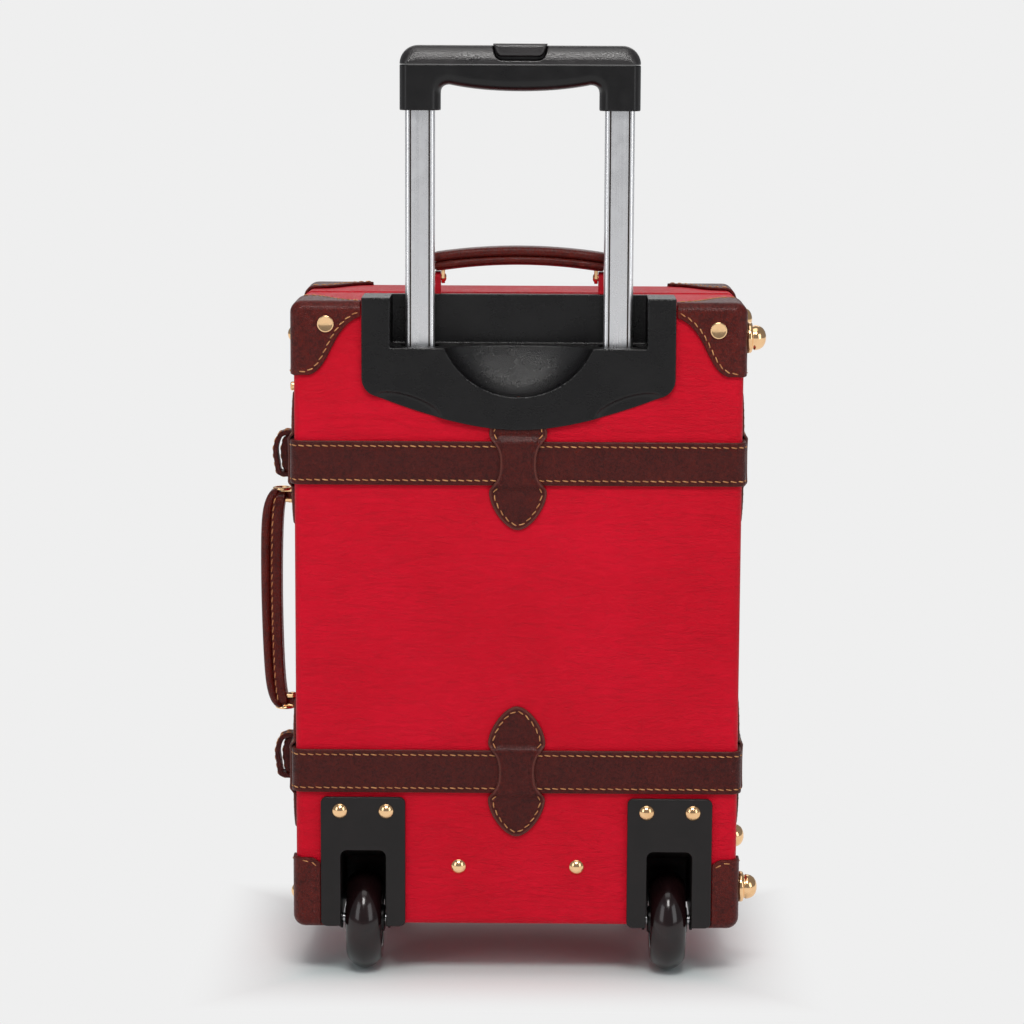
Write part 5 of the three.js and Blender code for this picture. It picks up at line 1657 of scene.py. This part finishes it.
def grip_outline(extra=0.0):
    """The bridge's front view, with legs that run down past their real end by some millimetres."""
    inner = GRIP_HALF - LEG_WIDTH
    under = LEG_BOTTOM + 20
    foot = LEG_BOTTOM - extra
    fillet = 7
    right = [(0, under - 5)]
    right += curve((0, under - 5), (inner / 2, under - 5), (inner - fillet, under), steps=18)[1:]
    right += curve((inner - fillet, under), (inner, under), (inner, under - fillet), steps=8)[1:]
    right += [(inner, foot), (GRIP_HALF, foot)]
    right += arc(GRIP_HALF - 14.5, GRIP_TOP - 14.5, 14.5, 0, 90, 16)
    left = [(-x, z) for x, z in reversed(right)]
    return tidy_loop(right + left, 0.02)


def edge_width(x, z):
    """How wide the rounded edge is: broad over the top, narrower down the legs, crisp inside."""
    if z > GRIP_TOP - 16:
        share = min(max((z - GRIP_TOP + 16) / 16, 0), 1)
        return 6.5 + 6.5 * share * share * (3 - 2 * share)
    return 6.5 if abs(x) > GRIP_HALF - 2 else 8


def grip_block(name):
    """The whole grip, with edges whose width changes round its outline."""
    outline = tidy_loop(grip_outline(12))
    if area_sign(outline) < 0:
        outline.reverse()
    unit = [Vector(a) - Vector(b) for a, b in zip(inset(outline, 1), outline)]
    widths = [edge_width(x, z) for x, z in outline]
    middle = (leg_low.y + leg_high.y) / 2
    half = (leg_high.y - leg_low.y) / 2
    rings = []
    for side in (-1, 1):
        for i in range(11):
            angle = math.pi / 2 * (i if side < 0 else 10 - i) / 10
            depth = middle + side * (half - GRIP_EDGE * (1 - math.cos(angle)))
            shrink = 1 - math.sin(angle)
            ring = [tuple(Vector(p) + u * w * shrink) for p, u, w in zip(outline, unit, widths)]
            rings.append(swap_axes(ring, "Y", depth))
    made = loft(name, rings)
    return cut(made, block("legs_end", (-FAR, -FAR, -FAR), (FAR, FAR, LEG_BOTTOM)))


def button_outline(gap, drop, travel=0.0, corner=4):
    """The button's front view, grown by a gap, with its foot dropped for the recess and the travel."""
    top = GRIP_TOP + BUTTON_RISE + max(3 * gap, 0)
    bottom = GRIP_TOP + BUTTON_RISE - BUTTON_TALL - drop - travel
    half, foot = 21.5 + gap, 18 + gap
    right = curve((foot - corner, bottom), (foot, bottom), (foot + 0.3 * corner, bottom + corner), steps=8)
    right += [(half, top)]
    left = [(-x, z) for x, z in reversed(right)]
    return tidy_loop(right + left, 0.02)


def recess_cutter(name, start, end, gap, drop):
    """The room for the button between two depths."""
    return prism(name, button_outline(gap, drop, BUTTON_TRAVEL, 6), "Y", start, end)


lower = grip_block("grip_lower_moulded")
cut(lower, block("above", (-FAR, -FAR, GRIP_SEAM - 0.15), (FAR, FAR, FAR)))
for side in (-1, 1):
    cut(lower, tube_bar("socket", side, 0.4, 4.9, False, LEG_BOTTOM - 2, LEG_BOTTOM + 8.3))
mould(lower, 0.55, 4, grip_plastic, "handle_upper_stage", "black_plastic", "grip_lower_shell")

upper = grip_block("grip_upper_moulded")
rib_y = (top_low.y + top_high.y) / 2
cut(upper, block("under", (-FAR, -FAR, -FAR), (FAR, FAR, GRIP_SEAM + 0.15)),
    recess_cutter("recess_back", -FAR, rib_y - RIB_HALF, RECESS_GAP, 0.6),
    recess_cutter("recess_front", rib_y + RIB_HALF, FAR, RECESS_GAP, 0.6),
    recess_cutter("rib_room", rib_y - 2 * RIB_HALF, rib_y + 2 * RIB_HALF,
                  RECESS_GAP - RIB_REACH, 0.6 - RIB_TALL))
mould(upper, 0.55, 4, gloss_plastic, "handle_upper_stage", "button_plastic", "grip_upper_shell")

button_low, button_high = measure("grip_button")
button = soft_prism("grip_button_moulded", button_outline(0, 0), "Y",
                    button_low.y + 0.4, button_high.y - 0.4, 3, 3, 5)
groove_start, groove_end = rib_y - RIB_HALF - 0.5, rib_y + RIB_HALF + 0.5
groove = block("groove", (-40, groove_start, GRIP_TOP - 40), (40, groove_end, GRIP_TOP + 10))
core = button_outline(-RIB_REACH, -RIB_TALL - 0.6 + 0.3)
core_top = [(x, z + 12 if z > GRIP_TOP else z) for x, z in core]
cut(groove, prism("core", core_top, "Y", groove_start - 1, groove_end + 1))
cut(button, groove)
mould(button, 0.5, 4, gloss_plastic, "grip_button", "button_plastic", "grip_button")
print("grip:", len(lower.data.polygons), len(upper.data.polygons), len(button.data.polygons), "faces")
# %% [markdown]
# ## Studs and side feet
#
# Brass studs hold the corners, the wheel housings and the foot of the back. The corner ones are
# flat with a rolled edge, the others are domed. The four side feet are larger brass domes on a stepped
# collar, which the case rests on when it lies on its hinge side.

# %% Studs
DOME = [(0, 3.4), (1.4, 3.25), (3.0, 2.75), (4.6, 1.75), (5.6, 0.75), (6.15, 0.25), (6.15, 0.0),
        (5.2, -0.6), (0, -0.6)]
FLAT = [(0, 1.25), (4.6, 1.2), (5.2, 1.3), (6.0, 1.55), (6.5, 1.3), (6.7, 0.7), (6.6, 0.0),
        (5.6, -0.6), (0, -0.6)]
FOOT = [(0, 15.2), (2.6, 15.0), (5.2, 14.2), (7.6, 12.6), (9.2, 10.2), (9.9, 7.6), (10.0, 6.0), (9.4, 5.0),
        (9.5, 4.4), (11.4, 3.9), (12.2, 3.2), (12.4, 2.2), (12.4, 0.4), (12.0, 0.0), (0, 0.0)]


def spun(name, profile, direction, centre, segments=48):
    """A turned brass piece whose profile rises along a direction such as -Y."""
    sign = 1 if direction[0] == "+" else -1
    axis = direction[1]
    line = [(r, sign * a) for r, a in profile]
    return turned(name, line, axis, centre, segments)


def stud(name, profile, direction, centre, body="case_base"):
    made = spun(name, profile, direction, centre)
    return finish(made, brass, body, "gold_metal", sharp=60, weighted=False)


stud("corner_stud_back_left", FLAT, "-Y", (-152.3, -CAP_OUT, 532.6))
stud("corner_stud_back_right", FLAT, "-Y", (157.4, -CAP_OUT, 528.9))
for hand, side in (("left", -1), ("right", 1)):
    stud(f"corner_stud_front_top_{hand}", FLAT, "+Y", (side * 157, DEPTH + CAP_OUT, 530), "lid")
    stud(f"corner_stud_front_bottom_{hand}", FLAT, "+Y", (side * 157, DEPTH + CAP_OUT, 62), "lid")
    stud(f"plate_stud_{hand}", DOME, "-Y", (side * 47.7 + 1.1, 0, 92.8))
    for number, offset in enumerate((-18.7, 18.6)):
        x = side * WHEEL_X + offset
        stud(f"housing_stud_{hand}_{number}", DOME, "-Y", (x, housing_low.y, 139.2))
for level, z in (("top", 522), ("bottom", 65)):
    stud(f"side_stud_left_{level}", DOME, "-X", (-(SIDE + CAP_OUT), 25, z))
for half, body in (("base", "case_base"), ("lid", "lid")):
    for level in ("upper", "lower"):
        node = f"{half}_side_foot_{level}"
        low, high = measure(node)
        centre = (low.x, (low.y + high.y) / 2, (low.z + high.z) / 2)
        finish(spun(node + "_spun", FOOT, "+X", centre, 64), brass, body, "gold_metal", node,
               sharp=50, weighted=False)
print("studs and feet placed")

# %% [markdown]
# ## Standing feet
#
# Two moulded feet under the lid level the case on its wheels. A turned profile gives the flange, the
# taper and a small radius at the sole.

# %% Standing feet
for hand in ("left", "right"):
    node = "stand_foot_" + hand
    low, high = measure(node)
    centre = ((low.x + high.x) / 2, (low.y + high.y) / 2, 0)
    tall = high.z
    profile = [(0, 0), (9.6, 0), (10.8, 0.5), (12, 1.8), (12.7, 10), (13, tall - 8), (14, tall - 6.4),
               (16.8, tall - 5.4), (17.6, tall - 4.6), (17.75, tall - 3.4), (17.75, tall), (0, tall)]
    finish(turned(node + "_moulded", profile, "Z", centre, 64), foot_rubber, "lid", "foot_rubber", node,
           sharp=50, weighted=False)
print("standing feet:", round(tall, 1), "mm tall")

# %% [markdown]
# ## Straps over the opening
#
# On the opening side the belts cross from the base to the lid as straps that lift. Each is a tongue
# of stitched leather, with a loop of leather standing over it near its tip. The loop is a band that
# leaves the case, bulges, and comes back, as leather does when it is pushed from both ends.

# %% Straps
def strap_tongue(name, start, end, height, node, body):
    """The stitched tongue, with a round tip, lying on the opening side."""
    out = SIDE + FIT + 0.2
    half = BELT_WIDTH / 2
    tip = curve((start + 9, -half), (start, -half), (start, half), (start + 9, half), steps=14)
    outline = tidy_loop([(end, -half)] + [(end, half)] + list(reversed(tip)), 0.05)
    if area_sign(outline) < 0:
        outline.reverse()

    def lay(u, v, h):
        return Vector((-(out + h), u, height + v))

    made = patch(name, outline, BELT_THICKNESS, lay, lambda v: 0.0, body, belt_hide, "belt_leather", node)
    line = inset(outline, STITCH_INSET)
    lift = BELT_THICKNESS - GROOVE_DEPTH + 0.1
    row = ([lay(u, v, lift) for u, v in line], [Vector((-1, 0, 0))] * len(line), True)
    sew(name + "_stitches", [row], body)
    return made


def outward_of(run):
    """The direction at a right angle to an open line, at each of its points."""
    outs = []
    for i in range(len(run)):
        forward = (run[min(i + 1, len(run) - 1)] - run[max(i - 1, 0)]).normalized()
        outs.append(Vector((forward.y, -forward.x)))
    return outs


def strap_loop(name, start, width, height, body, half, bulge, thick, buckle=0.0):
    """A band of leather that leaves the case, bulges and comes back; buckle bends it out of true."""
    inner = SIDE + FIT + 0.2
    reach = inner + bulge
    arch = curve((inner, -half), (reach, -half - 1), (reach, -half * 0.9), (reach, -half * 0.3), steps=16)
    arch += curve((reach, -half * 0.3), (reach, half * 0.9), (reach - 1, half + 1), (inner, half), steps=24)[1:]
    centre_run = [Vector((out + buckle * math.sin(0.21 * v + 1) * (out - inner) / bulge, v))
                  for out, v in arch]
    rings = []
    section = [(-width / 2, 0.4), (-width / 2 + 0.4, 0), (width / 2 - 0.4, 0), (width / 2, 0.4),
               (width / 2, thick - 0.9), (width / 2 - 0.9, thick), (-width / 2 + 0.9, thick),
               (-width / 2, thick - 0.9)]
    outs = outward_of(centre_run)
    for point, outward in zip(centre_run, outs):
        ring = []
        for across_loop, rise in section:
            spot_here = point - outward * (thick - rise)
            ring.append((-spot_here.x, start + width / 2 + across_loop, height + spot_here.y))
        rings.append(ring)
    made = loft(name, rings)
    finish(made, belt_hide, body, "belt_leather", sharp=50)
    rows = []
    for edge in (start + 2.6, start + width - 2.6):
        run = [Vector((-point.x, edge, height + point.y)) for point in centre_run]
        turned_out = [Vector((-outward.x, 0, outward.y)) for outward in outs]
        rows.append((run[3:-3], turned_out[3:-3], False))
    sew(name + "_stitches", rows, body)
    return made


for level in ("upper", "lower"):
    node = "strap_" + level
    low, high = measure(node)
    strap_height = (low.z + high.z) / 2
    strap_tongue("strap_leather_" + level, low.y, high.y, strap_height, node, node)
    strap_loop("strap_loop_" + level, low.y + 2, 14, strap_height, node, BELT_WIDTH / 2 + 1.4,
               bulge=19.6, thick=3.9, buckle=0.8)
    strap_loop("strap_fold_" + level, low.y + 4, 10.5, strap_height, node, BELT_WIDTH / 2 - 1.6,
               bulge=13.6, thick=5.8, buckle=0.7)
print("straps at the opening side, each with a loop and a fold under it")

# %% [markdown]
# ## Carry handles
#
# The handles are built up in layers. The top one has a padded upper layer and a flatter lower layer;
# under them a thin red strip is a painted reflection of the red case on the handle's underside. The
# side one has an outer roll and an inner flange, sewn along its flanks. Each layer is a loft along
# the handle: a soft rectangle that narrows towards the ends.

# %% Handle bars
END_REACH = 5.6


def end_taper(share):
    """How much of its width a handle keeps, at a share of the way from its middle to its end."""
    ends = max(abs(share) - 0.80, 0) / 0.20
    return math.sqrt(max(1 - ends ** 2.4, 0.0)) * 0.42 + 0.58


def handle_arch(share, spine_rise, dip):
    """How high a handle's arch stands, with its last stretch bent down by dip."""
    return spine_rise * (1 - share * share) - dip * abs(share) ** 9


def handle_layer(name, span, spine_rise, low, high, wide, turn_to, shoulder=2.2, dip=0.0):
    """One leather layer of a handle: a soft section carried along an arch, narrowing at its ends.

    dip bends the last stretch of the layer down towards its pivot.
    """
    rings = []
    steps = 64
    middle = (high + low) / 2
    for i in range(steps + 1):
        share = -1 + 2 * i / steps
        x = share * (span / 2 + END_REACH)
        close = math.sqrt(max(1 - max(abs(share) - 0.94, 0) / 0.06, 0.0)) * 0.45 + 0.55
        half = wide / 2 * end_taper(share)
        arch = handle_arch(share, spine_rise, dip)
        top, bottom = middle + (high - middle) * close, middle + (low - middle) * close
        radius = min(shoulder, (top - bottom) / 2 - 0.05, half - 0.1)
        ring = []
        for sign_x, sign_y, start in ((1, 1, 0), (-1, 1, 90), (-1, -1, 180), (1, -1, 270)):
            for px, py in arc(sign_x * (half - radius), sign_y * ((top - bottom) / 2 - radius), radius,
                              start, start + 90, 5):
                pillow = 0.5 * (1 - (px / half) ** 2) if py > 0 else 0
                ring.append(turn_to(x, px, middle + py + pillow + arch))
        rings.append(ring)
    return loft(name, rings)


def padded_layer(layer, body, *nodes):
    finish(layer, handle_hide, body, "handle_leather", *nodes, sharp=70, weighted=False)


def flank_rows(span, spine_rise, level, wide, turn_to, dip, steps=60):
    """Rows of stitches along both flanks of a handle layer, at one level."""
    rows = []
    for side in (-1, 1):
        run = []
        for i in range(steps + 1):
            share = -0.93 + 1.86 * i / steps
            flank = side * (wide / 2 * end_taper(share) - 0.1)
            rise = level + handle_arch(share, spine_rise, dip)
            run.append(Vector(turn_to(share * (span / 2 + END_REACH), flank, rise)))
        rows.append((run, [Vector((0, side, 0))] * len(run), False))
    return rows


def brass_loop(name, centre, axis, across_radius, tall_radius, wire, body):
    """A round-wire ring, stretched into a D, about an axis."""
    rings = []
    for i in range(48):
        angle = 2 * math.pi * i / 48
        out = Vector((math.cos(angle) * across_radius, math.sin(angle) * tall_radius))
        ring = []
        for k in range(12):
            turn_angle = 2 * math.pi * k / 12
            reach = 1 + wire * math.cos(turn_angle) / out.length
            flat = out * reach
            side_step = wire * math.sin(turn_angle)
            point = {"X": (side_step, flat.x, flat.y), "Y": (flat.x, side_step, flat.y),
                     "Z": (flat.x, flat.y, side_step)}[axis]
            ring.append(tuple(c + p for c, p in zip(centre, point)))
        rings.append(ring)
    made = loft(name, rings, closed=True)
    return finish(made, brass, body, "gold_metal", sharp=80, weighted=False)


top_low, top_high = measure("top_handle")
TOP_SPAN = top_high.x - top_low.x - 16
TOP_Y = (top_low.y + top_high.y) / 2
TOP_PIVOT = TOP + 16


def on_top(x, across_handle, rise):
    return (x, TOP_Y + across_handle, TOP_PIVOT + rise)


TOP_ARCH = 5.6
upper_layer = handle_layer("top_handle_upper_leather", TOP_SPAN, TOP_ARCH, 12.4, 19.6, 22, on_top,
                           shoulder=3.2)
padded_layer(upper_layer, "top_handle", "top_handle")
lower_layer = handle_layer("top_handle_lower_leather", TOP_SPAN - 2, TOP_ARCH, 6.0, 12.1, 20.6,
                           on_top, shoulder=2.8)
padded_layer(lower_layer, "top_handle")
# painted reflection: a thin red strip stands for the red case seen in the handle's underside
painted_reflection_layer = handle_layer("top_handle_red_strip", TOP_SPAN - 8, TOP_ARCH, 5.3, 6.6, 17.5, on_top,
                           shoulder=0.6)
finish(painted_reflection_layer, strip_reflection_hide, "top_handle", "red_tab", sharp=70, weighted=False)

side_low, side_high = measure("side_handle")
SIDE_SPAN = side_high.z - side_low.z - 16
SIDE_MIDDLE = (side_low.z + side_high.z) / 2
SIDE_PIVOT = SIDE + 8
SIDE_LEAN = 2.4


def on_side(x, across_handle, rise):
    lean = SIDE_LEAN * x / SIDE_SPAN
    return (-(SIDE_PIVOT + rise + lean * max(rise, 0) / 20), TOP_Y + across_handle, SIDE_MIDDLE + x)


SIDE_ARCH = 2.6
SIDE_DIP = 7.5
INNER_DIP = SIDE_DIP * 0.4
outer_layer = handle_layer("side_handle_outer_leather", SIDE_SPAN, SIDE_ARCH, 14.6, 21.6, 22,
                           on_side, shoulder=3.3, dip=SIDE_DIP)
padded_layer(outer_layer, "side_handle", "side_handle")
inner_layer = handle_layer("side_handle_inner_leather", SIDE_SPAN - 5, SIDE_ARCH, 5.4, 14.4, 20.2,
                           on_side, shoulder=1.4, dip=INNER_DIP)
padded_layer(inner_layer, "side_handle")
flanks = flank_rows(SIDE_SPAN, SIDE_ARCH, 12.9, 20.2, on_side, INNER_DIP)
sew("side_handle_stitches", flanks, "side_handle", "handle_leather")
print("handles:", round(TOP_SPAN), "and", round(SIDE_SPAN), "mm between pivots")

# %% [markdown]
# ## Handle ends and tabs
#
# At each end of a handle two brass ears straddle a tab on the case and a pin goes through all three.
# A brass ring stands beside them. Ears, pin and ring swing with the handle; the tabs stay on the
# case.

# %% Ears, pins and tabs
EAR_RADIUS = 5
EAR_THICK = 3
TAB_THICK = 4.6
PIN_RADIUS = 2.5
RING_REACH = 5.2
RING_RISE = 6.5
RING_WIRE = 1.25


def handle_end(name, x, turn_to, body):
    """Two ears and a pin at one end of a handle."""
    for number, start in enumerate((-TAB_THICK / 2 - FIT - EAR_THICK, TAB_THICK / 2 + FIT)):
        half = EAR_RADIUS - 0.1
        outline = arc(0, 0, half, 180, 360, 16) + [(half, 7.5), (-half, 7.5)]
        rings = []
        for depth, shrink in ((0, 0.5), (0.5, 0), (EAR_THICK - 0.5, 0), (EAR_THICK, 0.5)):
            ring = inset(outline, shrink) if shrink else outline
            rings.append([turn_to(x + start + depth, a, b) for a, b in ring])
        finish(loft(f"{name}_ear_{number}", rings), brass, body, "gold_metal", sharp=40)
    rings = []
    reach = TAB_THICK / 2 + FIT + EAR_THICK + 1.1
    for along_pin, radius in ((-reach, 1.2), (-reach + 0.4, 2.6), (-reach + 1.1, 3.2),
                              (-reach + 1.15, PIN_RADIUS), (reach - 1.15, PIN_RADIUS),
                              (reach - 1.1, 3.2), (reach - 0.4, 2.6), (reach, 1.2)):
        rings.append([turn_to(x + along_pin, a, b) for a, b in circle(0, 0, radius, 24)])
    finish(loft(name + "_pin", rings), brass, body, "gold_metal", sharp=40, weighted=False)


for hand, side in (("left", -1), ("right", 1)):
    handle_end("top_handle_end_" + hand, side * TOP_SPAN / 2, on_top, "top_handle")
    node = "top_handle_tab_" + hand
    tab = break_edges(copy_node(node, node + "_cloth"), 0.5, 3, 40)
    finish(tab, red_tab_finish, "case_base", "red_tab", node, sharp=40)
for level, side in (("upper", 1), ("lower", -1)):
    handle_end("side_handle_end_" + level, side * SIDE_SPAN / 2, on_side, "side_handle")
    node = "side_handle_tab_" + level
    tab = break_edges(copy_node(node, node + "_leather"), 0.5, 3, 40)
    finish(tab, handle_hide, "case_base", "handle_leather", node, sharp=40)
for hand, side in (("left", -1), ("right", 1)):
    centre = on_top(side * (TOP_SPAN / 2 + RING_REACH), 0, RING_RISE)
    brass_loop("top_handle_ring_" + hand, centre, "X", 6.8, 7, RING_WIRE, "top_handle")
for level, side in (("upper", 1), ("lower", -1)):
    centre = on_side(side * (SIDE_SPAN / 2 + RING_REACH), 0, RING_RISE)
    brass_loop("side_handle_ring_" + level, centre, "Z", 7, 6.8, RING_WIRE, "side_handle")
print("handle ends ready")

# %% [markdown]
# ## Small fittings on the opening side
#
# A brass catch plate sits above the zip's resting place, and two leather bumpers keep the side handle
# from knocking on the shell. Both lie on the base's side wall, clear of the zip and of its pulls.

# %% Catch plate and bumpers
FITTING_Y = 90


def side_fitting(name, height, tall, deep, thick, corner, material, slot):
    """A soft-edged plate that lies on the opening side's wall."""
    outline = rounded(deep, tall, corner, FITTING_Y, height, 8)
    made = prism(name, outline, "X", -(SIDE + FIT), -(SIDE + FIT + thick))
    break_edges(made, min(thick * 0.35, 1.2), 4, 40)
    return finish(made, material, "case_base", slot, sharp=50)


side_fitting("catch_plate", 460, 16, 20, 5, 3, brass, "gold_metal")
side_fitting("catch_button", 473, 7, 9, 9, 2.5, brass, "gold_metal")
for level, height in (("upper", 361.7), ("lower", 243)):
    side_fitting("bumper_" + level, height, 7, 30, 4.0, 1.8, handle_hide, "handle_leather")
print("fittings on the opening side: 4")

# %% [markdown]
# ## Zip
#
# The zip runs round three sides. Its tapes are sewn inside the two trays, and its teeth are small
# brass bars that alternate between the base tape and the lid tape, so each tape's teeth can leave
# with their own half of the case.

# %% Zip teeth, sliders and pulls
TOOTH_PITCH = 3.2
TEETH_IN = 1.6


def zip_run(growth, step):
    """Places along the zip, from the top of the hinge side over the opening side to the bottom."""
    line = outline_run(growth, 8, ZIP_CORNER)
    stretch = [(p, n) for p, n in line if p.x < SIDE - ZIP_CORNER - 1]
    start = max(range(len(stretch)), key=lambda i: (stretch[i][0].y, stretch[i][0].x))
    stretch = stretch[start:] + stretch[:start]
    points = [Vector((p.x, 0, p.y)) for p, _ in stretch]
    normals = [Vector((n.x, 0, n.y)) for _, n in stretch]
    lengths = walk(points)[1]
    places = []
    distance = step / 2
    while distance < lengths[-1]:
        point, index, part = along(points, lengths, distance)
        out = normals[index].lerp(normals[index + 1], part).normalized()
        forward = (points[index + 1] - points[index]).normalized()
        places.append((point, out, forward))
        distance += step
    return places


def teeth(name, body, side):
    """The teeth of one tape: side is -1 for the base and 1 for the lid."""
    points, faces = [], []
    for point, out, forward in zip_run(-WALL - TEETH_IN, TOOTH_PITCH):
        shift = forward * (TOOTH_PITCH / 2 if side > 0 else 0)
        lip = OPENING_Y + side * 0.35
        root = OPENING_Y + side * 3.4
        low = len(points)
        for depth, half, rise in ((root, 0.55, 0.2), (root, 0.55, 1.6), (lip, 0.75, 1.7), (lip, 0.75, 0.1)):
            for direction in (-1, 1):
                spot_here = point + shift + forward * half * direction + out * rise
                points.append((spot_here.x, depth, spot_here.z))
        for a, b in ((0, 2), (2, 4), (4, 6), (6, 0)):
            faces.append((low + a, low + b, low + b + 1, low + a + 1))
        faces.append((low, low + 2, low + 4, low + 6))
        faces.append((low + 1, low + 3, low + 5, low + 7))
    made = to_object(name, points, faces)
    return finish(made, brass, body, "gold_metal", sharp=30, weighted=False)


teeth("base_zip_teeth", "case_base", -1)
teeth("lid_zip_teeth", "lid", 1)
for level in ("upper", "lower"):
    for kind, body in (("slider", "zip_slider_" + level), ("pull", "zip_pull_" + level)):
        node = f"zip_{kind}_{level}"
        copy = break_edges(copy_node(node, node + "_cast"), 0.35, 3, 35)
        finish(copy, brass, body, "gold_metal", node, sharp=40)
print("zip teeth:", len(zip_run(-WALL - TEETH_IN, TOOTH_PITCH)), "a side")

# %% [markdown]
# ## Inside the case, tapes and the steel frame
#
# These pieces keep their CAD shapes, because they are flat sheets and plain bars that show only when
# the case is open. They get real materials: woven lining, zip cloth and steel. The hinge strip is a
# copy of its CAD sheet with broken edges. It stays on the base and does not bend with the lid.

# %% Carried-over pieces
CARRIED = {
    "base_lining": lining_cloth, "lid_lining": lining_cloth,
    "base_zip_tape": zip_cloth, "lid_zip_tape": zip_cloth,
    "tube_bracket": steel,
}
for node, material in CARRIED.items():
    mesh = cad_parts[node].data
    mesh.materials.clear()
    mesh.materials.append(material)
strip = break_edges(copy_node("hinge_strip", "hinge_strip_leather"), 0.5, 3, 40)
finish(strip, belt_hide, "case_base", "belt_leather", "hinge_strip", sharp=40)
print("carried over:", sorted(CARRIED))
# %% [markdown]
#
# The dressed model has to stay the size of the CAD model. Both boxes are written out side by side.

# %% Size
final_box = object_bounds()
for name, before, after in zip(("low", "high"), cad_box, final_box):
    print(name, [round(v * 1000, 1) for v in before], [round(v * 1000, 1) for v in after])
